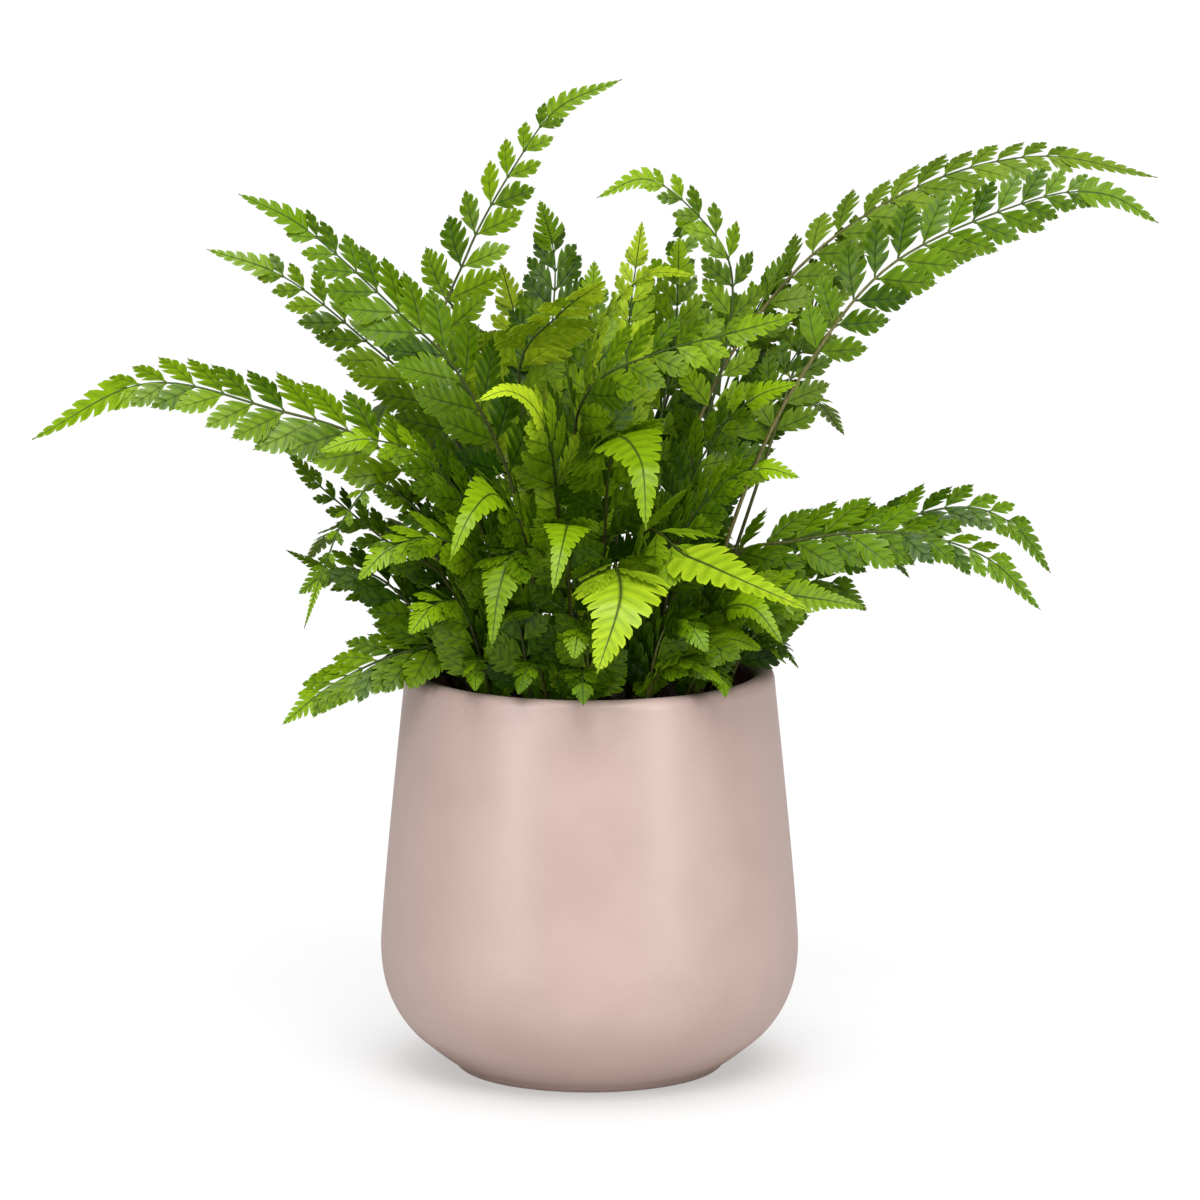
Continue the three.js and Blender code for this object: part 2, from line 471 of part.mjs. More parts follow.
// Points of a leaflet's near side, far side and tip, each on its upper and its lower face
function leafletPoints(place, thickness, growth) {
  const point = ([x, y]) => {
    const middle = place.root.clone()
      .addScaledVector(place.rib, x * (place.length + growth))
      .addScaledVector(place.across, y * place.length + Math.sign(y) * growth)
      .addScaledVector(place.out, -DROOP * x * x * place.length);
    return {
      upper: middle.clone().addScaledVector(place.out, thickness / 2),
      lower: middle.clone().addScaledVector(place.out, -thickness / 2),
    };
  };
  const lobes = lobesFor(place.length);
  return { near: lobes.near.map(point), far: lobes.far.map(point), tip: point([1, 0]) };
}

// Triangles of a leaflet between its two sides, open at its root, alike on both of its faces.
// A left leaflet is the mirror image of a right one, so its triangles turn the other way.
function leafletTriangles(near, far, tip, side) {
  const triangles = [];
  const add = (a, b, c) => triangles.push(side > 0 ? [a, b, c] : [a, c, b]);
  const last = near.length - 1;
  for (let i = 0; i < last; i += 1) {
    add(near[i].upper, near[i + 1].upper, far[i + 1].upper);
    add(near[i].upper, far[i + 1].upper, far[i].upper);
    add(near[i].lower, far[i + 1].lower, near[i + 1].lower);
    add(near[i].lower, far[i].lower, far[i + 1].lower);
  }
  add(near[last].upper, tip.upper, far[last].upper);
  add(near[last].lower, far[last].lower, tip.lower);
  const edge = [...near, tip, ...[...far].reverse()];
  for (let i = 0; i + 1 < edge.length; i += 1) {
    add(edge[i].lower, edge[i + 1].lower, edge[i + 1].upper);
    add(edge[i].lower, edge[i + 1].upper, edge[i].upper);
  }
  return triangles;
}

// Keeps both faces' points of an edge in a list, and gives their numbers back
function keepPair(points, pair) {
  points.push(pair.upper, pair.lower);
  return { upper: points.length - 2, lower: points.length - 1 };
}

// A leaflet as a closed solid, a little larger than life. Its root is closed by a wall.
function leafletTestSolid(rows, side) {
  const points = [];
  const near = rows.near.map((pair) => keepPair(points, pair));
  const far = rows.far.map((pair) => keepPair(points, pair));
  const tip = keepPair(points, rows.tip);
  const triangles = leafletTriangles(near, far, tip, side);
  const wall = [[near[0].upper, far[0].upper, far[0].lower], [near[0].upper, far[0].lower, near[0].lower]];
  wall.forEach(([a, b, c]) => triangles.push(side > 0 ? [a, b, c] : [a, c, b]));
  return solidFrom(points, triangles);
}

// The edge of the stem's section that a leaflet on this side grows from
function rootEdge(frame, side) {
  const [ridge, right, left] = sectionCorners(frame);
  return { upper: ridge, lower: side > 0 ? right : left };
}

// Tip blade: points on both sides of the last stretch of stem, and triangles from the last section

function tipBladePoints(stem, start) {
  const point = (share, across) => {
    const { centre, up, side } = stem.frame(start + (1 - start) * share);
    const middle = centre.addScaledVector(side, across);
    return {
      upper: middle.clone().addScaledVector(up, BLADE_THICKNESS / 2),
      lower: middle.clone().addScaledVector(up, -BLADE_THICKNESS / 2),
    };
  };
  return {
    right: TIP_TEETH.map(([share, across]) => point(share, across)),
    left: TIP_TEETH.map(([share, across]) => point(share, -across)),
    tip: point(1, 0),
  };
}

function tipBladeTriangles([ridge, lowRight, lowLeft], right, left, tip) {
  const triangles = [[lowRight, lowLeft, tip.lower]];
  const rightEdge = [...right, tip];
  const leftEdge = [...left, tip];
  for (let i = 0; i + 1 < rightEdge.length; i += 1) {
    triangles.push([ridge, rightEdge[i].upper, rightEdge[i + 1].upper]);
    triangles.push([ridge, leftEdge[i + 1].upper, leftEdge[i].upper]);
    triangles.push([lowRight, rightEdge[i + 1].lower, rightEdge[i].lower]);
    triangles.push([lowLeft, leftEdge[i].lower, leftEdge[i + 1].lower]);
  }
  const start = { upper: ridge, lower: lowRight };
  const end = { upper: ridge, lower: lowLeft };
  const edge = [start, ...rightEdge, ...[...left].reverse(), end];
  for (let i = 0; i + 1 < edge.length; i += 1) {
    if (edge[i].upper !== edge[i + 1].upper) {
      quad(triangles, edge[i].lower, edge[i + 1].lower, edge[i + 1].upper, edge[i].upper);
    }
  }
  return triangles;
}

function tipBladeTestSolid(stem, start) {
  const points = [...sectionCorners(stem.frame(start))];
  const blade = tipBladePoints(stem, start);
  const right = blade.right.map((pair) => keepPair(points, pair));
  const left = blade.left.map((pair) => keepPair(points, pair));
  const tip = keepPair(points, blade.tip);
  return solidFrom(points, [[0, 2, 1], ...tipBladeTriangles([0, 1, 2], right, left, tip)]);
}

// Everything that a new leaflet has to stay clear of. Two solids touch where they share more than an
// allowed volume.
class Neighbours {
  constructor() {
    this.items = [];
  }

  add(solid, owner, kind, pairIndex) {
    const { min, max } = solid.boundingBox();
    this.items.push({ solid, owner, kind, pairIndex, min, max });
  }

  touch(solid, counts, allowed = 0) {
    const { min, max } = solid.boundingBox();
    return this.items.some((item) => {
      const apart = [0, 1, 2].some((i) => item.min[i] > max[i] || item.max[i] < min[i]);
      if (apart || !counts(item)) {
        return false;
      }
      const shared = item.solid.intersect(solid);
      const clear = shared.isEmpty() || shared.volume() < allowed;
      shared.delete();
      return !clear;
    });
  }
}

// Fronds

function planFrond(frond, index) {
  const stem = stemOf(frond.path, frond.face);
  const pairs = pairPlaces(frond, stem.total);
  const bare = Array.from({ length: BARE_STEPS }, (_, i) => pairs[0].start * i / BARE_STEPS);
  const { end } = pairs[pairs.length - 1];
  const tipStart = end + TIP_GAP * (1 - end);
  const shares = [...bare, ...pairs.flatMap((pair) => [pair.start, pair.end]), tipStart];
  return { frond, index, stem, pairs, shares, leaflets: new Map() };
}

function addStem(plan, neighbours) {
  const { stem, shares, index } = plan;
  const last = shares.length - 1;
  for (let i = 0; i < last; i += TEST_STEPS) {
    const frames = shares.slice(i, Math.min(i + TEST_STEPS, last) + 1).map(stem.frame);
    neighbours.add(stemTestSolid(frames), index, 'stem');
  }
  neighbours.add(tipBladeTestSolid(stem, shares[last]), index, 'tip');
}

// Gives each leaflet the first length, turn and tilt that is clear, or leaves it out
function placeLeaflets(plan, neighbours) {
  const ways = TURNS.flatMap((turn) => TILTS.map((tilt) => ({ turn, tilt })));
  const choices = LENGTHS.flatMap((length) => ways.map((way) => ({ length, ...way })));
  plan.pairs.forEach((pair, pairIndex) => {
    [1, -1].forEach((side) => {
      choices.some((choice) => {
        const place = leafletPlace(plan, pairIndex, side, choice);
        const [thin, thick] = [leafletPoints(place, BLADE_THICKNESS, 0),
          leafletPoints(place, TEST_THICKNESS, TEST_GROWTH)];
        const onStem = (points) => leafletTestSolid({
          near: [rootEdge(plan.stem.frame(pair.start), side), ...points.near],
          far: [rootEdge(plan.stem.frame(pair.end), side), ...points.far],
          tip: points.tip,
        }, side);
        const [outer, rooted, exact] = [leafletTestSolid(thick, side), onStem(thick), onStem(thin)];
        const own = (item) => item.owner === plan.index;
        const joined = (item) => own(item) && (item.kind === 'stem' || item.pairIndex === pairIndex);
        const beside = (item) => joined(item) && (item.kind === 'stem' || item.kind === 'exact');
        const blocked = neighbours.touch(rooted, (item) => !joined(item) && item.kind !== 'exact')
          || neighbours.touch(outer, own) || neighbours.touch(exact, beside, ROOT_OVERLAP);
        if (blocked) {
          [outer, rooted, exact].forEach((solid) => solid.delete());
          return false;
        }
        neighbours.add(rooted, plan.index, 'rooted', pairIndex);
        neighbours.add(outer, plan.index, 'outer', pairIndex);
        neighbours.add(exact, plan.index, 'exact', pairIndex);
        plan.leaflets.set(`${pairIndex},${side}`, thin);
        return true;
      });
    });
  });
}

function frondGeometry(plan) {
  const { stem, shares, leaflets } = plan;
  const points = [];
  const triangles = [];
  const keep = (point) => points.push(point) - 1;
  const rings = shares.map((share) => sectionCorners(stem.frame(share)).map(keep));
  triangles.push([rings[0][0], rings[0][2], rings[0][1]]);
  for (let i = 0; i + 1 < rings.length; i += 1) {
    const [ridge, right, left] = rings[i];
    const [nextRidge, nextRight, nextLeft] = rings[i + 1];
    quad(triangles, right, left, nextLeft, nextRight);
    const pairIndex = (i - BARE_STEPS) / 2;
    [1, -1].forEach((side) => {
      const leaflet = leaflets.get(`${pairIndex},${side}`);
      const lower = side > 0 ? right : left;
      const nextLower = side > 0 ? nextRight : nextLeft;
      if (leaflet) {
        const nearSide = leaflet.near.map((pair) => keepPair(points, pair));
        const farSide = leaflet.far.map((pair) => keepPair(points, pair));
        const near = [{ upper: ridge, lower }, ...nearSide];
        const far = [{ upper: nextRidge, lower: nextLower }, ...farSide];
        triangles.push(...leafletTriangles(near, far, keepPair(points, leaflet.tip), side));
      } else if (side > 0) {
        quad(triangles, ridge, lower, nextLower, nextRidge);
      } else {
        quad(triangles, lower, ridge, nextRidge, nextLower);
      }
    });
  }
  const blade = tipBladePoints(stem, shares[shares.length - 1]);
  const right = blade.right.map((pair) => keepPair(points, pair));
  const left = blade.left.map((pair) => keepPair(points, pair));
  const tip = keepPair(points, blade.tip);
  triangles.push(...tipBladeTriangles(rings[rings.length - 1], right, left, tip));
  return geometryFrom(points, triangles);
}

// The whole plant in its pot

const group = new THREE.Group();

function addPart(name, geometry, finish) {
  const [color, roughness] = FINISHES[finish];
  const mesh = new THREE.Mesh(geometry, new THREE.MeshStandardMaterial({ color, roughness, metalness: 0 }));
  mesh.name = name;
  group.add(mesh);
}

const plans = FRONDS.map(planFrond);
const pot = potGeometry();
const soil = soilSolid(plans.map((plan) => holeSolid(plan.stem)));
const neighbours = new Neighbours();
neighbours.add(solidFromGeometry(pot), -1, 'pot');
neighbours.add(soil, -1, 'soil');
plans.forEach((plan) => addStem(plan, neighbours));
plans.forEach((plan) => placeLeaflets(plan, neighbours));

addPart('pot', pot, 'ceramic');
addPart('potting_soil', geometryFromSolid(soil), 'soil');
plans.forEach((plan) => addPart(`frond_${plan.frond.name}`, frondGeometry(plan), plan.frond.tone));

export default group;
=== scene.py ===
"""Potted athyrium spicatum: a fern with arching, toothed fronds in a dusty pink ceramic pot.

The scene keeps the part's own frame: metres, +Z up, and the show side faces -Y. The numbers below are
millimetres and degrees, and a mesh is put into metres as it is made. The fine pieces of the pot, the
soil and the fronds take the place of the part's own nodes."""

from collections import namedtuple

import bpy
import numpy as np
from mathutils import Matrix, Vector


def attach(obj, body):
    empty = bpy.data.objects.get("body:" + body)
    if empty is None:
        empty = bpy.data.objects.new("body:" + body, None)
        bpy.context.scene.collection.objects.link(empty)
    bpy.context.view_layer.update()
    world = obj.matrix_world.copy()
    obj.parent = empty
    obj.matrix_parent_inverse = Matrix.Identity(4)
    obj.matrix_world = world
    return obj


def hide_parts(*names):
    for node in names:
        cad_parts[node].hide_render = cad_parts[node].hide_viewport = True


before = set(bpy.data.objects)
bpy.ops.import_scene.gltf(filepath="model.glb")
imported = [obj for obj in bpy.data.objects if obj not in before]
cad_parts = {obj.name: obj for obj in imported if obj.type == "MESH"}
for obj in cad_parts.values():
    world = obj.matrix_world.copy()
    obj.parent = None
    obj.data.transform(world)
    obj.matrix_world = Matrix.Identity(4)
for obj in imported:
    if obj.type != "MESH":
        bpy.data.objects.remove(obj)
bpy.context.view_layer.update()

METRE = 0.001

# Pot: radius and height at its foot, up its outer wall, round its lip and down its inner wall
POT_FOOT = [(0, 0), (51.4, 0), (52.8, 0.35), (53.8, 1.1), (54.6, 2.1)]
POT_WALL = [(55.6, 3.1), (59.4, 5.7), (64.4, 9.6), (72.2, 16.4), (78.3, 25), (82.4, 35.4), (84, 48),
            (83.4, 62), (81.2, 88), (77.9, 122), (75, 150), (74.3, 157.6)]
POT_LIP = [(74.2, 158.6), (73.4, 160.7), (71.6, 161.8), (69.6, 162), (67.6, 161.4), (66.3, 160), (65.8, 158)]
POT_INSIDE = [(66.2, 148), (68.6, 130), (73, 90), (76, 48), (66.4, 17), (54, 9), (0, 9)]
POT_SIDES = 144
WALL_ROWS = 60
LIP_ROWS = 16

# Potting soil: a low crown, waves with a rate and a start along x and y, and grains with a height, a scale
# and a seed. Waves and grains fade out at the wall, the faster the greater the fade.
SOIL_TOP = 148
SOIL_RADIUS = 66.1
SOIL_DEPTH = 20
SOIL_ROWS = 90
SOIL_SIDES = 220
SOIL_LUMP = 1.5
SOIL_CROWN = 3
SOIL_WAVES = ((0.31, 1.3), (0.27, -0.4))
SOIL_GRAINS = ((0.9, 2.1, 3), (0.5, 0.9, 7))
SOIL_FADE = 12

# Crumbs and root fibres on the soil, with their draws' seeds and the bare margin at the wall. A crumb's
# size is the least one plus a part that is mostly small, and it stands in the soil up to about its middle.
CRUMBS = 900
CRUMB_SIDES, CRUMB_RINGS = 6, 3
CRUMB_SIZE, CRUMB_GROWTH = 0.4, 1.3
CRUMB_STRETCH = (0.6, 1.25)
CRUMB_DENTS = (0.8, 1.15)
CRUMB_SEED, CRUMB_MARGIN, CRUMB_RISE = 11, 1.5, 0.25
FIBRES = 110
FIBRE_STEP = 1.7
FIBRE_BEND = 0.45
FIBRE_ROWS = 12
FIBRE_RADII = (0.13, 0.28)
FIBRE_SEED, FIBRE_STEPS, FIBRE_SIDES = 23, (4, 9), 3
START_MARGIN, FIBRE_MARGIN = 8, 2
FIBRE_LIFT, FIBRE_ARCH = 0.4, 0.9

# Stems: the first six values are the part's, and the rest make them finer
STEM_BASE_RADIUS = 1.25
STEM_TIP_RADIUS = 0.5
STEM_TAPER = 0.7
CURVE_DIVISIONS = 200
SIDE_STEPS = 60
SIDE_PULL = 0.3
STEM_ROWS = 56
STEM_SIDES = 8
STEM_SHARE = 0.85
STEM_END = 0.6

# Repeatable draws, as in the part, and their kinds, of which the first four are the part's. A stem and a
# tip blade have numbers of their own in place of a leaflet's.
KEY_START = 0.5
KEY_WEIGHT = 12.9898
KEY_STEP = 65.243
NOISE_SCALE = 43758.5453
ANGLE_DRAW, TILT_DRAW, ROLL_DRAW, LENGTH_DRAW = 1, 2, 3, 4
WIDTH_DRAW, DROOP_DRAW, TWIST_DRAW, WAVE_DRAW, TONE_DRAW, UNEVEN_DRAW = range(11, 17)
SPRIG_DRAW = 31
STEM_NUMBER, TIP_NUMBER = 50, 99

# Leaflets: angles in degrees from the stem, up from the blade's plane and about the rib. All values are
# the part's, apart from the power by which their length falls along the blade.
ROOT_ANGLE = 53
TIP_ANGLE = 36
ANGLE_SPREAD = 5
TILT_SPREAD = 7
ROLL = 12
ROLL_SPREAD = 5
LENGTH_SPREAD = 0.07
DROOP = 0.16
PAIR_POWER = 1.35
FIRST_PAIR = 0.3
PAIRED_SHARE = 0.8
LENGTH_POWER = 2.2

# A frond here has more leaflet pairs than its solid. Fronds of the thick middle have few pairs in the
# part: they get more extra ones, a little shorter. The longer fronds' first leaflets shrink instead. All
# but those whose stems show also have low pairs, which shrink towards the soil and end above it. A
# leaflet that would meet the pot's wall is raised by one of the lifts, or left out. From a share of the
# blade on, leaflets grow together into one lobed blade, which in a few hanging fronds starts early and
# is broad.
MORE_PAIRS = 3
INNER_PAIRS = 5
INNER_SHARE = 0.88
INNER_FEWER_THAN = 7
LOW_PAIRS = 5
LOW_SHRINK = 1.2
ROOT_SHRINK = 0.3
ROOT_SHRINK_END = 0.3
LOWEST_LEAFLET = 157
LIFTS = (0, 22, 44)
WALL_ZONE = (61, 80, 165)
WALL_TESTS = 7
EXTRA_PAIRS = {
    "tall_left": 1, "left_upper": 2, "left_second": 2, "long_left": 3, "left_over_rim": 2,
    "right_long_back": 4, "right_long_front": 2, "right_behind": 2, "right_low_back": 2, "right_low_front": 3,
}
TAN_STEMS = ("right_long_back", "right_long_front")
SHOWN_STEMS = ("tall_left", "right_long_back", "right_long_front", "right_behind", "top_curl")
MERGED_FROM = 0.8
MERGED_WIDTH = 0.6
TIP_GAP = 0.45
BROAD_TIPS = {
    "front_yellow": (0.4, 0.78), "front_bright": (0.4, 0.5), "centre_droop": (0.45, 0.6),
    "left_centre_droop": (0.45, 0.5), "front_left_droop": (0.5, 0.5), "front_mid": (0.55, 0.5),
    "front_low_inner_left": (0.5, 0.5), "right_rim": (0.5, 0.5), "front_low_right": (0.5, 0.5),
    "centre_left": (0.6, 0.5), "front_right_rim": (0.6, 0.5),
}

# Low sprigs: small young fronds that lean over the rim, at even angles round the pot but for their draws.
# Their paths are radii, heights and a swing to the side at equal steps from foot to tip.
SPRIGS = 17
SPRIG_PAIRS = 3
SPRIG_LEAFLET = 15
SPRIG_BARE = 0.36
SPRIG_RADII = np.array([50, 56, 66, 76, 85])
SPRIG_HEIGHTS = np.array([140, 161, 174, 175, 166])
SPRIG_STEPS = np.linspace(0, 1, 5)
SPRIG_SHIFT = 0.35
SPRIG_SWING = 16
SPRIG_REACH = 5
SPRIG_LIFT = 4
SPRIG_FACING = 0.7

# The thick middle of the plant, where leaves are darkened by painted shade: its centre, its reach along
# x, y and z, and the share of that reach where it starts to open and how much further it is open. The
# share of a leaf's lightness left by the deepest painted shade, the lightness itself and its spread in
# the middle, and how far it narrows outside
THICK_MIDDLE = (0, 0, 190)
THICK_REACH = (120, 105, 130)
OPEN_FROM, OPEN_OVER = 0.4, 0.42
DEEPEST_PAINTED_SHADE = 0.35
LEAF_LIGHTNESS, LEAF_SPREAD, SPREAD_LOSS = 0.54, 0.46, 0.2
TIP_LIGHTNESS, TIP_SPREAD = 0.72, 0.2
TIP_WAY = 0.9

# Leaflet outlines: half widths as shares of the length at shares of the way along the rib. A blade has
# columns of points at its two edges, on its rib and between them.
WAY = [0, 0.1, 0.28, 0.5, 0.75, 0.92, 1]
FAR_WIDTHS = [0.09, 0.24, 0.3, 0.235, 0.13, 0.055, 0.018]
NEAR_WIDTHS = [0.04, 0.13, 0.24, 0.215, 0.12, 0.05, 0.018]
TIP_WIDTHS = [1, 0.92, 0.76, 0.54, 0.31, 0.17, 0.06]
BROAD_WIDTHS = [0.8, 1, 0.76, 0.46, 0.27, 0.14, 0.04]
TIP_LOBES = (6, 10)
TIP_LOBE_WIDTH = 0.75
BROAD_LOBES = 11
LOBE_PHASES = [0, 0.15, 0.38, 0.56, 0.82]
LOBE_REACH = [0, 0.68, 0.96, 0.93, 1]
LOBE_LENGTH = 4.5
FEWEST_LOBES = 3
MOST_LOBES = 7
LOBE_DEPTHS = (0.54, 0.34)
TIP_DEPTHS = (0.9, 0.45)
BROAD_DEPTHS = (0.4, 0.34)
VEIN_ANGLES = (56, 36)
BROAD_ANGLES = (74, 36)
INNER_ROW = 0.42
RIB_START = 0.08
RIB_END = 0.94
RIB_POWER = 1.2
STALK_WIDTH = 0.4
POINT_WIDTH = 0.006
COLUMNS = 5
RING = 2 * COLUMNS
ACROSS = np.array([1, 0.5, 0, -0.5, -1])
THICKNESS_ACROSS = np.array([0.5, 1, 1, 1, 0.5])
FOLD = 0.16
CUP = 0.85
WAVE = 0.007
SICKLE = 0.05
TWIST = 0.3
DROOP_SPREAD = 0.05
UNEVEN = 0.09
UNEVEN_RATE = 2.3
WIDTH_SPREAD = 0.09
LEAF_THICKNESS = 0.24

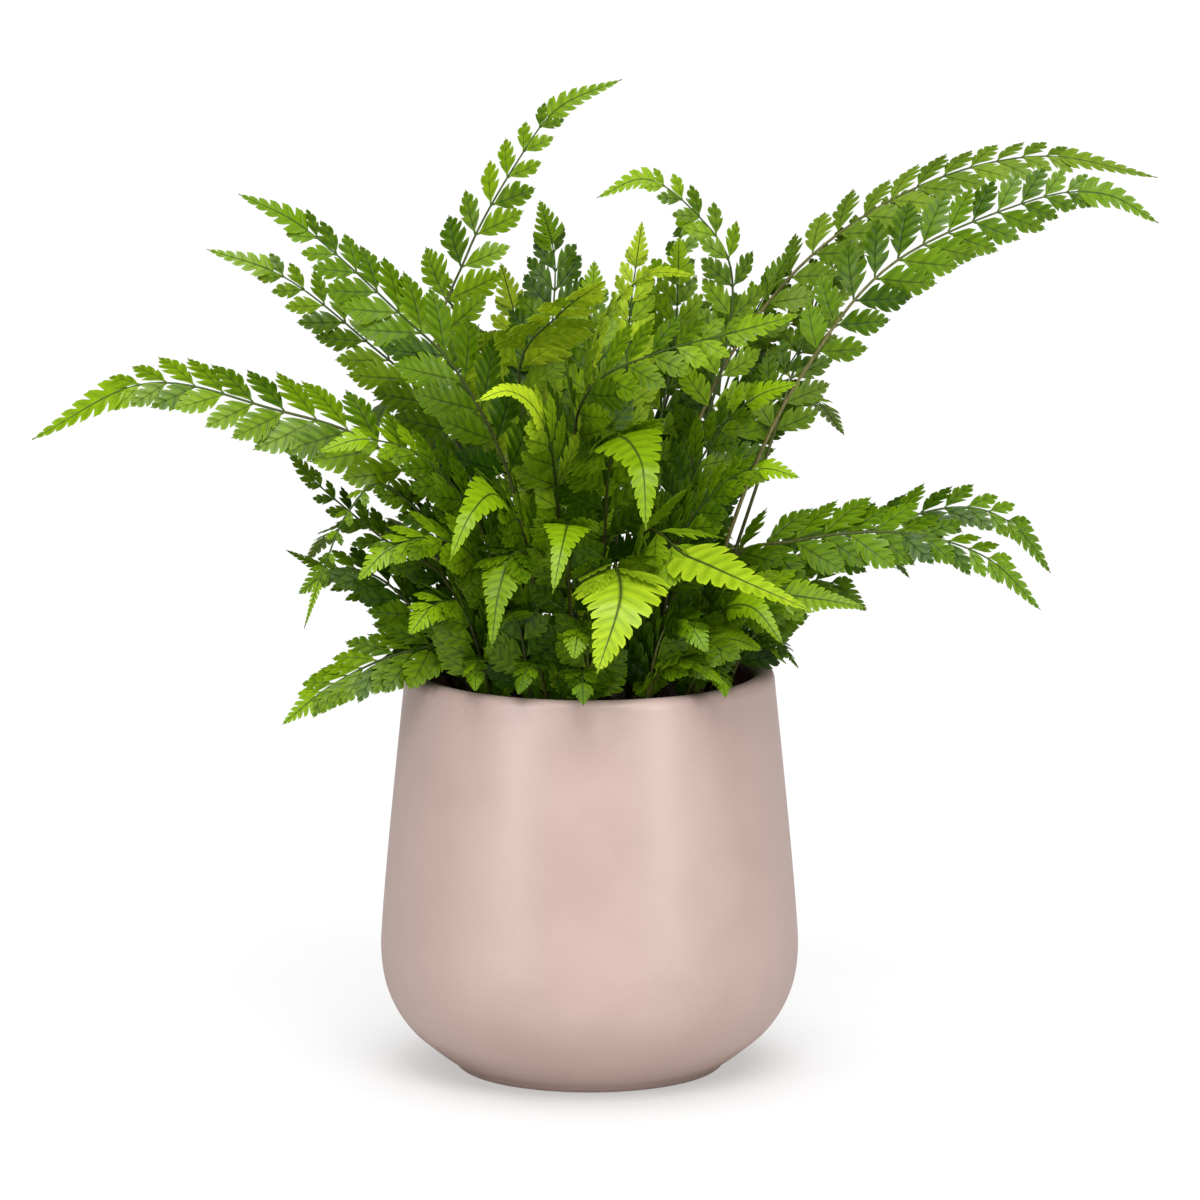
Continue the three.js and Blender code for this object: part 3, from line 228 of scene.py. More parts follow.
# Fronds: the tone, and as in the part the leaflet pairs, longest leaflet, bare share of the stem, the way
# that the blade's upper side faces, and the stem's points from its foot in the soil to its tip
Frond = namedtuple("Frond", "name tone pairs longest bare face path")
FRONDS = [Frond(*row) for row in (
    ("tall_left", "mid", 8, 27, 0.38, (-0.3, -1, 0.3),
     ((-12, 6, 134), (-34, 16, 212), (-60, 27, 283), (-49, 35, 325), (-28, 40, 363), (-12, 43, 383),
      (13, 45, 394))),
    ("left_upper", "deep", 8, 32, 0.34, (0.2, -1, 0.7),
     ((-16, -4, 134), (-28, -12, 228), (-50, -18, 281), (-77, -20, 310), (-112, -22, 342),
      (-138, -24, 356))),
    ("left_second", "mid", 7, 28, 0.38, (0.1, -1, 0.7),
     ((-26, 2, 134), (-41, 6, 218), (-59, 12, 263), (-90, 20, 292), (-122, 22, 317), (-153, 24, 328))),
    ("long_left", "mid", 8, 32, 0.32, (0, -1, 1),
     ((-30, -12, 134), (-43, -20, 207), (-82, -30, 255), (-127, -36, 273), (-174, -40, 283),
      (-219, -42, 261))),
    ("left_mid", "deep", 5, 19, 0.36, (0.2, -1, 0.6),
     ((-36, 0, 134), (-55, -6, 195), (-83, -10, 217), (-109, -14, 240), (-121, -16, 255))),
    ("left_droop", "mid", 4, 10, 0.5, (-0.6, -1, 0.2),
     ((-40, -12, 134), (-55, -26, 210), (-80, -38, 242), (-94, -46, 234), (-103, -52, 215),
      (-112, -55, 188))),
    ("left_low_thin", "mid", 3, 16, 0.42, (0, -0.4, 1),
     ((-42, 8, 134), (-64, 12, 178), (-96, 16, 194), (-122, 18, 207))),
    ("left_over_rim", "mid", 7, 25, 0.28, (0, -1, 0.9),
     ((-30, -26, 134), (-43, -32, 175), (-72, -40, 176), (-100, -48, 165), (-121, -52, 149))),
    ("front_left_droop", "mid", 4, 24, 0.46, (-0.2, -1, 0.5),
     ((-16, -30, 134), (-22, -46, 206), (-29, -66, 220), (-35, -82, 208), (-38, -90, 186))),
    ("front_yellow", "bright", 4, 30, 0.44, (0, -1, 0.6),
     ((6, -24, 134), (9, -36, 196), (10, -60, 214), (12, -88, 205), (3, -100, 178))),
    ("front_bright", "bright", 5, 30, 0.42, (0, -0.8, 1),
     ((14, -18, 134), (20, -40, 220), (39, -65, 218), (62, -85, 211), (87, -98, 202))),
    ("centre_droop", "mid", 5, 32, 0.46, (0.1, -1, 0.6),
     ((4, -12, 134), (6, -25, 219), (10, -60, 263), (20, -92, 260), (22, -104, 235))),
    ("left_centre_droop", "mid", 5, 28, 0.44, (0.1, -1, 0.7),
     ((-18, -16, 134), (-22, -40, 209), (-35, -68, 242), (-45, -88, 240), (-54, -98, 222))),
    ("right_long_back", "grey", 8, 27, 0.46, (-0.2, -0.6, 0.9),
     ((16, 12, 134), (41, 15, 252), (77, 25, 313), (125, 32, 349), (178, 36, 364), (228, 40, 355))),
    ("right_long_front", "deep", 9, 27, 0.5, (0, -1, 0.35),
     ((30, -6, 134), (62, -10, 236), (88, -10, 288), (121, -8, 327), (175, -4, 351), (204, 0, 353),
      (226, 4, 341))),
    ("right_behind", "grey", 6, 22, 0.48, (-0.3, -1, 0.6),
     ((34, 8, 134), (67, 4, 236), (78, 8, 270), (93, 30, 310), (114, 48, 338), (143, 55, 351))),
    ("right_inner", "deep", 5, 28, 0.36, (-0.3, -0.8, -0.1),
     ((24, 8, 134), (40, 8, 221), (58, 10, 255), (75, 12, 276), (90, 14, 299), (99, 16, 313))),
    ("centre_right", "mid", 6, 29, 0.44, (0, -1, 0.6),
     ((2, -2, 134), (-6, -20, 242), (0, -45, 281), (26, -62, 298), (55, -70, 307), (82, -74, 315))),
    ("top_curl", "mid", 6, 23, 0.5, (0.4, -1, 0.4),
     ((12, 0, 134), (36, 0, 230), (53, 0, 285), (56, 0, 324), (40, -4, 348), (22, -8, 360), (3, -12, 353))),
    ("top_dark", "deep", 6, 33, 0.5, (0, -0.8, 0.6),
     ((-2, 14, 134), (-8, 22, 227), (-15, 34, 281), (-14, 46, 320), (-20, 40, 346))),
    ("top_back", "bright", 4, 28, 0.5, (0, -1, 0.5),
     ((-10, 22, 134), (-18, 35, 238), (-28, 52, 288), (-36, 60, 318))),
    ("right_low_back", "deep", 7, 26, 0.34, (0, -1, 1),
     ((40, 12, 134), (68, 12, 194), (105, 14, 213), (145, 14, 225), (169, 12, 219), (185, 10, 199))),
    ("right_low_front", "deep", 7, 27, 0.32, (0, -1, 0.9),
     ((36, -14, 134), (52, -22, 205), (83, -30, 219), (123, -36, 223), (156, -40, 214), (178, -42, 193))),
    ("right_rim", "mid", 4, 24, 0.46, (0.3, -1, 0.8),
     ((32, -26, 134), (44, -36, 192), (67, -46, 200), (91, -52, 199), (109, -55, 196))),
    ("front_right_rim", "mid", 4, 27, 0.4, (0, -1, 0.8),
     ((14, -36, 134), (20, -48, 172), (39, -58, 182), (55, -62, 185), (68, -64, 181))),
    ("front_mid", "mid", 4, 26, 0.44, (0, -1, 0.7),
     ((-4, -32, 134), (-8, -54, 204), (-8, -80, 232), (-10, -102, 230), (-14, -114, 212))),
    ("centre_left", "bright", 5, 27, 0.46, (0, -1, 0.8),
     ((-12, -10, 134), (-12, -30, 226), (-18, -52, 268), (-30, -70, 284), (-44, -82, 282))),
    ("centre_upper", "bright", 5, 26, 0.46, (0, -0.5, 1),
     ((-4, 4, 134), (-2, 0, 250), (4, -16, 300), (22, -32, 324), (42, -42, 326))),
    ("centre_low_right", "mid", 5, 26, 0.4, (0, -1, 0.9),
     ((24, -20, 134), (32, -34, 208), (48, -48, 240), (66, -60, 252), (82, -68, 250))),
    ("centre_low_left", "mid", 5, 26, 0.4, (0, -1, 0.9),
     ((-24, -22, 134), (-36, -42, 200), (-56, -62, 224), (-76, -76, 224), (-90, -84, 212))),
    ("mid_left", "mid", 5, 27, 0.38, (0.1, -1, 0.9),
     ((-24, -8, 134), (-40, -20, 214), (-62, -36, 250), (-86, -48, 262), (-106, -54, 258))),
    ("mid_right", "mid", 5, 26, 0.4, (-0.2, -1, 0.7),
     ((24, -6, 134), (35, -12, 222), (49, -22, 258), (65, -32, 276), (82, -38, 283))),
    ("back_long", "mid", 5, 28, 0.42, (0, 0.3, 1),
     ((2, 32, 134), (3, 54, 220), (4, 92, 270), (5, 140, 284), (7, 186, 258))),
    ("back_long_right", "deep", 5, 28, 0.42, (0, 0.3, 1),
     ((12, 28, 134), (22, 50, 226), (40, 88, 280), (58, 130, 294), (72, 170, 272))),
    ("back_long_left", "mid", 5, 28, 0.42, (0, 0.3, 1),
     ((-10, 32, 134), (-20, 56, 216), (-38, 94, 268), (-54, 136, 282), (-66, 176, 260))),
    ("back_right", "mid", 4, 27, 0.42, (0.1, 0.2, 1),
     ((24, 22, 134), (42, 44, 210), (68, 78, 250), (90, 110, 256), (106, 136, 236))),
    ("back_left", "deep", 4, 27, 0.42, (-0.1, 0.2, 1),
     ((-22, 20, 134), (-38, 42, 208), (-62, 76, 250), (-80, 108, 256), (-92, 134, 236))),
    ("back_low_right", "deep", 4, 25, 0.38, (0.1, 0.2, 1),
     ((34, 22, 134), (56, 38, 186), (88, 62, 208), (114, 82, 202), (132, 98, 182))),
    ("back_low_left", "mid", 4, 25, 0.38, (-0.1, 0.2, 1),
     ((-32, 20, 134), (-52, 38, 188), (-80, 60, 210), (-102, 80, 206), (-118, 96, 188))),
    ("back_low", "mid", 4, 25, 0.4, (0, 0.3, 1),
     ((-8, 44, 134), (-12, 64, 182), (-20, 102, 202), (-28, 140, 192), (-34, 166, 168))),
    ("back_low_middle", "bright", 4, 24, 0.4, (0.1, 0.3, 1),
     ((14, 42, 134), (22, 63, 184), (36, 98, 206), (50, 132, 198), (60, 157, 176))),
    ("back_upright_right", "deep", 4, 26, 0.48, (0.1, 0.8, 0.6),
     ((8, 18, 134), (18, 36, 236), (28, 58, 296), (38, 84, 328), (44, 108, 336))),
    ("back_upright_left", "mid", 4, 26, 0.48, (-0.1, 0.8, 0.6),
     ((-16, 14, 134), (-30, 34, 226), (-46, 62, 280), (-58, 88, 306), (-66, 108, 312))),
    ("front_low_left", "mid", 4, 26, 0.3, (-0.2, -1, 0.7),
     ((-34, -38, 134), (-42, -46, 172), (-50, -56, 196), (-60, -68, 200), (-70, -80, 190))),
    ("front_low_inner_left", "deep", 4, 24, 0.28, (-0.1, 0.3, 1),
     ((-20, -46, 134), (-24, -54, 168), (-28, -64, 192), (-34, -76, 196), (-40, -88, 184))),
    ("front_low_middle", "mid", 4, 24, 0.28, (0, -1, 0.6),
     ((0, -50, 134), (0, -58, 166), (-2, -68, 188), (-4, -80, 192), (-6, -90, 182))),
    ("front_low_inner_right", "deep", 4, 24, 0.28, (0.1, -1, 0.6),
     ((20, -46, 134), (24, -54, 168), (30, -64, 190), (38, -76, 194), (46, -86, 184))),
    ("front_low_right", "mid", 4, 24, 0.3, (0.2, -1, 0.7),
     ((36, -36, 134), (43, -44, 170), (52, -54, 194), (64, -66, 198), (76, -76, 185))),
    ("right_low_inner", "deep", 4, 26, 0.3, (0.2, -1, 0.8),
     ((48, -14, 134), (60, -17, 170), (76, -20, 195), (94, -23, 201), (110, -26, 190))),
    ("left_low_inner", "deep", 4, 26, 0.3, (0, -1, 0.8),
     ((-50, -4, 134), (-61, -4, 172), (-80, -6, 197), (-100, -8, 204), (-116, -10, 194))),
    ("back_skirt_right", "mid", 4, 26, 0.3, (0.1, -0.3, 1),
     ((28, 42, 134), (35, 54, 170), (46, 70, 192), (60, 86, 196), (72, 98, 186))),
    ("back_skirt_left", "mid", 4, 26, 0.3, (-0.2, 0.7, 0.9),
     ((-26, 44, 134), (-34, 56, 170), (-44, 72, 192), (-56, 88, 196), (-66, 100, 186))),
    ("left_back_low", "mid", 4, 25, 0.3, (-0.5, 0.3, 1),
     ((-46, 22, 134), (-58, 27, 170), (-73, 34, 194), (-90, 42, 200), (-104, 50, 190))),
    ("upper_flat", "bright", 4, 32, 0.56, (0, 0.3, 1),
     ((-6, 12, 134), (-19, 20, 220), (-28, 12, 280), (-12, -24, 308), (6, -58, 326))),
    ("upper_young", "bright", 4, 20, 0.62, (-0.1, -1, 0.3),
     ((8, 10, 134), (12, 16, 240), (16, 20, 300), (21, 18, 340))),
    ("upper_middle", "mid", 4, 27, 0.58, (0.1, -1, 0.2),
     ((16, 16, 134), (24, 26, 230), (34, 32, 290), (36, 34, 332))),
    ("upper_right", "deep", 4, 28, 0.55, (-0.2, -1, 0.4),
     ((26, 2, 134), (44, 16, 230), (60, 26, 288), (82, 34, 328))),
    ("upper_inner", "mid", 4, 28, 0.55, (0, -1, 0.3),
     ((-2, 2, 134), (2, 8, 230), (0, 14, 284), (2, 20, 324))),
)]

# Colours as linear light: a leaf tone's or a soil's are its darkest and its lightest
LEAF_TONES = {
    "deep": ((0.014, 0.05, 0.0005, 1), (0.145, 0.265, 0.003, 1)),
    "mid": ((0.026, 0.075, 0.001, 1), (0.23, 0.375, 0.004, 1)),
    "bright": ((0.13, 0.25, 0.003, 1), (0.47, 0.6, 0.022, 1)),
    "grey": ((0.065, 0.135, 0.006, 1), (0.22, 0.33, 0.026, 1)),
}
STEM_FOOT, STEM_TAN, STEM_TIP = (0.022, 0.011, 0.006, 1), (0.16, 0.14, 0.045, 1), (0.035, 0.08, 0.005, 1)
STEM_OLIVES = ((0.022, 0.03, 0.005, 1), (0.075, 0.085, 0.014, 1))
PINKS = ((0.325, 0.237, 0.21, 1), (0.352, 0.259, 0.231, 1))
# The painted shade low on the bowl, the painted highlight on the rim's edge, and the bare clay inside
LOW_SHADE_PINK, RIM_HIGHLIGHT_PINK, BARE_CLAY = (0.27, 0.19, 0.165, 1), (0.45, 0.34, 0.3, 1), (0.22, 0.105, 0.08, 1)
# Where the pot's colour changes, in metres: heights of the painted shade low on the bowl, of the painted
# highlight on the rim's edge, below and above the pits, and at the lower and upper end of the bare inner
# wall, and radii just outside that wall
LOW_SHADE_BAND, RIM_HIGHLIGHT_BAND = (0.0, 0.034), (0.1595, 0.1618)
PITS_FROM, PITS_TO = (0.148, 0.153), (0.1565, 0.159)
BARE_FROM, BARE_TO, BARE_RADII = (0.1, 0.12), (0.156, 0.159), (0.0662, 0.0668)
SOILS = {
    "potting_mix": ((0.011, 0.006, 0.004, 1), (0.07, 0.038, 0.022, 1)),
    "soil_crumb": ((0.02, 0.011, 0.007, 1), (0.11, 0.06, 0.035, 1)),
    "root_fibre": ((0.09, 0.03, 0.012, 1), (0.2, 0.08, 0.03, 1)),
}
# The floor's painted shadow and its glow as the camera sees them, its lit colour, and its colour to other
# rays
FLOOR_PAINTED_SHADOW, FLOOR_SEEN = (0.55, 0.53, 0.52, 1), (1, 0.998, 0.997, 1)
FLOOR_LIT, FLOOR_UNSEEN = (0.93, 0.925, 0.92, 1), (0.75, 0.72, 0.7, 1)

# Light: the world's strength to the camera, where it is mirrored and everywhere else, the floor's own
# strength and its half width in metres, the lamps' places and sizes in metres and their powers in watts,
# and the sun's strength and its width in degrees
WORLD_SEEN, WORLD_MIRRORED, WORLD_EVEN = 1.0, 0.07, 0.19
FLOOR_STRENGTH = 1.03
FLOOR_REACH = 12
SIDE_LIGHTS = {"soft_left": ((-1.35, -1.45, 0.55), 27), "soft_right": ((1.35, -1.45, 0.55), 26)}
SIDE_LIGHT_SIZE = (0.3, 1.6)
LIT_MIDDLE = (0, 0, 0.16)
SUN_PLACE, SUN_STRENGTH, SUN_WIDTH = (0.1, -0.7, 1.0), 3.5, 34

# Camera: the photograph's frame, with lengths in millimetres and the pitch down in degrees
CAMERA_DISTANCE = 3000
CAMERA_PITCH = 9.84
CAMERA_AIM = (4.2, 0, 189.8)
CAMERA_LENS = 225
SENSOR = 36


# Whole-array geometry


def unit(vectors):
    """Vectors divided by their own lengths."""
    return vectors / np.linalg.norm(vectors, axis=-1, keepdims=True)


def draw(*keys):
    """A repeatable draw between -1 and 1: the fraction of a large multiple of the mixed keys' sine."""
    angle = sum((np.asarray(key) * (KEY_WEIGHT + KEY_STEP * i) for i, key in enumerate(keys)), KEY_START)
    large = np.sin(angle) * NOISE_SCALE
    return 2 * (large - np.floor(large)) - 1


def curve_at(path, share):
    """A smooth curve through the path's points: between two of them it is the cubic whose slope at each
    one is half the step between that point's neighbours. A share of 1 is the last point."""
    points = np.asarray(path, float)
    points = np.vstack([2 * points[0] - points[1], points, 2 * points[-1] - points[-2]])
    spans = len(points) - 3
    place = np.clip(share, 0, 1) * spans
    first = np.minimum(place.astype(int), spans - 1)
    past = (place - first)[:, None]
    before, start, end, after = (points[first + k] for k in range(4))
    slope, end_slope = (end - before) / 2, (after - start) / 2
    square = 3 * (end - start) - 2 * slope - end_slope
    cube = 2 * (start - end) + slope + end_slope
    return start + slope * past + square * past**2 + cube * past**3


def chords(path):
    """Equal steps of a stem's curve, and the lengths between them."""
    steps = np.linspace(0, 1, CURVE_DIVISIONS + 1)
    return steps, np.linalg.norm(np.diff(curve_at(path, steps), axis=0), axis=1)


def stem_line(path, shares):
    """Middle and direction of a stem at shares of its length."""
    steps, lengths = chords(path)
    reach = np.concatenate([[0], np.cumsum(lengths)])
    place = np.interp(np.asarray(shares) * reach[-1], reach, steps)
    nudge = 1e-4
    return curve_at(path, place), unit(curve_at(path, place + nudge) - curve_at(path, place - nudge))


def upper_sides(path, face):
    """Directions of a stem's upper side at even steps of its length, carried from the tip down as in the
    part: each is pulled towards the facing's part square to the stem, or away from it where the stem has
    turned past the facing."""
    face = unit(np.asarray(face, float))
    up, sides = face, []
    for along in stem_line(path, np.linspace(0, 1, SIDE_STEPS + 1))[1][::-1]:
        wanted = face - (along @ face) * along
        carried = unit(up - (along @ up) * along)
        up = unit(carried + (-SIDE_PULL if carried @ wanted < 0 else SIDE_PULL) * wanted)
        sides.append(up)
    return np.array(sides[::-1])


def stem_frames(path, face, shares):
    """Middle, direction, upper side and right side of a stem at shares of its length. The right side is
    square to the stem and to its upper side."""
    centre, along = stem_line(path, shares)
    sides, steps = upper_sides(path, face), np.linspace(0, 1, SIDE_STEPS + 1)
    up = np.stack([np.interp(shares, steps, sides[:, axis]) for axis in range(3)], axis=-1)
    up = unit(up - (along * up).sum(axis=-1, keepdims=True) * along)
    return centre, along, up, np.cross(along, up)


def stem_radius(share):
    """Radius of a stem: it falls from foot to tip by a power of the share of its length."""
    return STEM_BASE_RADIUS + (STEM_TIP_RADIUS - STEM_BASE_RADIUS) * share**STEM_TAPER


def grid_faces(rows, columns):
    """Corner numbers of the four-sided faces of a grid whose columns close round."""
    row, column = np.meshgrid(np.arange(rows - 1), np.arange(columns), indexing="ij")
    after = (column + 1) % columns
    corners = [row * columns + column, row * columns + after, (row + 1) * columns + after,
               (row + 1) * columns + column]
    return np.stack(corners, axis=-1).reshape(-1, 4)


def capped_faces(rows, sides):
    """The faces of such a grid, with fans that close its first and last row to the two points after it."""
    number = np.arange(sides)
    after = (number + 1) % sides
    last = (rows - 1) * sides
    foot = np.stack([np.full(sides, rows * sides), after, number], axis=-1)
    head = np.stack([np.full(sides, rows * sides + 1), last + number, last + after], axis=-1)
    return [grid_faces(rows, sides), foot, head]


def tube(centre, side, up, radius, sides):
    """A round tube about a path: the radius is laid off at equal angles between the side and up
    directions, and each end is closed by a point. Gives the points and lists of faces."""
    angle = 2 * np.pi * np.arange(sides) / sides
    ring = np.cos(angle)[None, :, None] * side[:, None] + np.sin(angle)[None, :, None] * up[:, None]
    rings = centre[:, None] + radius[:, None, None] * ring
    return np.vstack([rings.reshape(-1, 3), centre[:1], centre[-1:]]), capped_faces(len(centre), sides)


def smooth_noise(x, y, scale, seed):
    """Soft lumps between about -1 and 1: three waves of unlike directions, turned by two slower ones."""
    x, y = x / scale + 3.1 * seed, y / scale - 1.7 * seed
    a = np.sin(x + 1.3 * np.sin(0.7 * y)) * np.cos(1.1 * y + 1.2 * np.sin(0.8 * x))
    b = np.sin(1.9 * x - 1.4 * y + seed) * np.cos(1.3 * x + 2.1 * y)
    return 0.65 * a + 0.35 * b


# Meshes


def new_object(name, data):
    """An object in the scene that shows the mesh, lamp or camera."""
    thing = bpy.data.objects.new(name, data)
    bpy.context.scene.collection.objects.link(thing)
    return thing


def new_piece(name, points, faces, material, stands_for=(), uv=None, tint=None, edge=None):
    """Makes a smooth mesh object from whole arrays: points in millimetres, and faces as arrays of corner
    numbers with three or four corners each. A map and a tint have one row for each point. An edge
    between two points that are marked as edge points is sharp."""
    mesh = bpy.data.meshes.new(name)
    loops = np.concatenate([group.ravel() for group in faces]).astype(np.int32)
    sizes = np.concatenate([np.full(len(group), group.shape[1]) for group in faces])
    starts = np.concatenate([[0], np.cumsum(sizes)[:-1]]).astype(np.int32)
    mesh.vertices.add(len(points))
    mesh.vertices.foreach_set("co", (np.asarray(points) * METRE).astype(np.float32).ravel())
    mesh.loops.add(len(loops))
    mesh.loops.foreach_set("vertex_index", loops)
    mesh.polygons.add(len(starts))
    mesh.polygons.foreach_set("loop_start", starts)
    mesh.update(calc_edges=True)
    mesh.shade_smooth()
    if uv is not None:
        layer = mesh.uv_layers.new(name="leaf_map")
        layer.data.foreach_set("uv", np.asarray(uv)[loops].astype(np.float32).ravel())
    if tint is not None:
        colours = np.column_stack([tint, np.ones(len(tint))]).astype(np.float32)
        layer = mesh.attributes.new("leaf_tint", "FLOAT_COLOR", "POINT")
        layer.data.foreach_set("color", colours.ravel())
    if edge is not None:
        ends = np.zeros(2 * len(mesh.edges), np.int32)
        mesh.edges.foreach_get("vertices", ends)
        sharp = np.asarray(edge)[ends.reshape(-1, 2)].all(axis=1)
        mesh.attributes.new("sharp_edge", "BOOLEAN", "EDGE").data.foreach_set("value", sharp)
    mesh.materials.append(material)
    piece = new_object(name, mesh)
    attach(piece, "root")
    if stands_for:
        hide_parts(*stands_for)


def joined(parts):
    """Several shapes as one: all their points, and their faces' numbers moved on to match."""
    counts = np.cumsum([0] + [len(points) for points, _ in parts[:-1]])
    faces = [group + start for (_, groups), start in zip(parts, counts) for group in groups]
    return np.vstack([points for points, _ in parts]), faces


# Shader building


def add_node(tree, kind, inputs=None, **settings):
    """Adds a shader node, sets its properties, and gives its inputs values or other nodes' outputs."""
    made = tree.nodes.new(kind)
    for name, value in settings.items():
        setattr(made, name, value)
    for key, value in (inputs or {}).items():
        if isinstance(value, bpy.types.NodeSocket):
            tree.links.new(value, made.inputs[key])
        else:
            made.inputs[key].default_value = value
    return made


def maths(tree, operation, *values):
    """An operation on values: the first with the second, the result with the third, and so on."""
    result = values[0]
    for value in values[1:] or (0.0,):
        result = add_node(tree, "ShaderNodeMath", {0: result, 1: value}, operation=operation).outputs[0]
    return result


def ramp(tree, value, low, high, start=0.0, end=1.0):
    """A value eased from start to end as the input goes from low to high."""
    inputs = {"Value": value, "From Min": low, "From Max": high, "To Min": start, "To Max": end}
    return add_node(tree, "ShaderNodeMapRange", inputs, interpolation_type="SMOOTHSTEP").outputs[0]


def blend(tree, share, a, b):
    """A colour between two others."""
    return add_node(tree, "ShaderNodeMix", {0: share, 6: a, 7: b}, data_type="RGBA").outputs[2]


def toned(tree, colour, value, saturation=1.0):
    """A colour with its brightness and its strength multiplied."""
    inputs = {"Value": value, "Saturation": saturation, "Color": colour}
    return add_node(tree, "ShaderNodeHueSaturation", inputs).outputs[0]


def noise(tree, place, scale, detail=3.0, roughness=0.5):
    """Soft noise from 0 to 1 at a place, with its scale in lumps to the metre."""
    inputs = {"Vector": place, "Scale": scale, "Detail": detail, "Roughness": roughness}
    return add_node(tree, "ShaderNodeTexNoise", inputs).outputs["Fac"]


def spots(tree, place, scale):
    """The distance from scattered points, with their number to the metre."""
    return add_node(tree, "ShaderNodeTexVoronoi", {"Vector": place, "Scale": scale}).outputs["Distance"]


def object_place(tree):
    """The place on the object, in metres."""
    return add_node(tree, "ShaderNodeTexCoord").outputs["Object"]


def leaf_tint(tree):
    """The three values of the tint attribute."""
    tint = add_node(tree, "ShaderNodeAttribute", attribute_name="leaf_tint")
    return add_node(tree, "ShaderNodeSeparateColor", {0: tint.outputs["Color"]}).outputs


def skin(tree, colour, roughness, height, depth, strength, specular=0.5):
    """A surface with a colour, a roughness and a relief, which has a depth in metres and a strength."""
    bump = add_node(tree, "ShaderNodeBump", {"Height": height, "Distance": depth, "Strength": strength})
    return add_node(tree, "ShaderNodeBsdfPrincipled", {
        "Base Color": colour, "Roughness": roughness, "Normal": bump.outputs[0],
        "Specular IOR Level": specular}).outputs[0]


def mixed(tree, share, a, b):
    """Two shaders mixed: the first at a share of 0 and the second at 1."""
    return add_node(tree, "ShaderNodeMixShader", {0: share, 1: a, 2: b}).outputs[0]


def new_group(name, inputs, outputs):
    """A shader node group with named inputs and outputs. Each is a name and a socket type."""
    tree = bpy.data.node_groups.new(name, "ShaderNodeTree")
    for label, kind in inputs:
        tree.interface.new_socket(label, in_out="INPUT", socket_type=kind)
    for label, kind in outputs:
        tree.interface.new_socket(label, in_out="OUTPUT", socket_type=kind)
    return tree, add_node(tree, "NodeGroupInput"), add_node(tree, "NodeGroupOutput")


def marks_of(tree, pattern, dark, light):
    """A pattern group in a material, with its darkest and lightest colour. Gives the group's outputs."""
    return add_node(tree, "ShaderNodeGroup", {"Dark": dark, "Light": light}, node_tree=pattern).outputs


def new_material(name):
    """An empty material and its tree."""
    material = bpy.data.materials.new(name)
    material.use_nodes = True
    material.node_tree.nodes.clear()
    return material, material.node_tree


def put_surface(tree, shader):
    """Gives a material its shader."""
    add_node(tree, "ShaderNodeOutputMaterial", {"Surface": shader})


COLOUR, VALUE = "NodeSocketColor", "NodeSocketFloat"


def leaf_pattern_group():
    """The marks of a leaf. The map's first value counts lobes along the rib, so that its fraction is 0.5
    on a lobe's own vein, and its second runs from -1 over 0 on the rib to 1 across the blade. The tint
    holds the leaflet's own lightness darkened by painted shade deep in the plant, the share of the
    frond's way, and 1 on the underside."""
    tree, given, out = new_group(
        "leaf_pattern", [("Dark", COLOUR), ("Light", COLOUR)],
        [("Colour", COLOUR), ("Glow", COLOUR), ("Roughness", VALUE), ("Height", VALUE)])
    chart = add_node(tree, "ShaderNodeUVMap", uv_map="leaf_map")
    lobe, side, _ = add_node(tree, "ShaderNodeSeparateXYZ", {0: chart.outputs[0]}).outputs
    own, way, under = leaf_tint(tree)
    place = object_place(tree)

    def from_half(value):
        """How far a value's fraction is from 0.5."""
        return maths(tree, "ABSOLUTE", maths(tree, "SUBTRACT", maths(tree, "FRACT", value), 0.5))

    across = maths(tree, "ABSOLUTE", side)
    from_vein = from_half(lobe)
    vein = maths(tree, "MULTIPLY", ramp(tree, from_vein, 0.02, 0.12, 1, 0),
                 ramp(tree, across, 0.1, 0.95, 1, 0.2))
    slant = maths(tree, "MULTIPLY", from_vein, 3.2)
    twigs = maths(tree, "SUBTRACT", maths(tree, "MULTIPLY", across, 6.0), slant)
    twig = ramp(tree, from_half(twigs), 0.0, 0.2, 1, 0)
    rib = ramp(tree, across, 0.02, 0.1, 1, 0)
    blotch = noise(tree, place, 210, detail=2)
    grain = noise(tree, place, 2600, detail=2)

    # The leaflet's own draw carries the painted shade of the plant's thick middle
    pale = maths(tree, "ADD", maths(tree, "MULTIPLY", own, 0.85), maths(tree, "MULTIPLY", blotch, 0.34),
                 ramp(tree, way, 0.45, 1, 0, 0.14), ramp(tree, across, 0.6, 1, 0, 0.12),
                 ramp(tree, from_vein, 0.05, 0.4, -0.08, 0.08))
    colour = blend(tree, ramp(tree, pale, 0.18, 1.25), given.outputs["Dark"], given.outputs["Light"])
    veined = toned(tree, colour, 0.62)
    colour = blend(tree, maths(tree, "MULTIPLY", vein, 0.15), colour, veined)
    colour = blend(tree, maths(tree, "MULTIPLY", twig, 0.1), colour, veined)
    dark_rib = maths(tree, "MULTIPLY", rib, maths(tree, "SUBTRACT", 1.0, under), 0.85)
    colour = blend(tree, dark_rib, colour, toned(tree, colour, 0.42, 0.95))
    colour = blend(tree, under, colour, toned(tree, colour, 0.95))
    glow = toned(tree, colour, 1.9, 1.05)
    height = maths(tree, "ADD", maths(tree, "MULTIPLY", vein, -0.7), maths(tree, "MULTIPLY", rib, -1.0),
                   maths(tree, "MULTIPLY", twig, -0.16), maths(tree, "MULTIPLY", grain, 0.2))
    tree.links.new(colour, out.inputs["Colour"])
    tree.links.new(glow, out.inputs["Glow"])
    tree.links.new(ramp(tree, blotch, 0.3, 0.7, 0.22, 0.4), out.inputs["Roughness"])
    tree.links.new(height, out.inputs["Height"])
    return tree


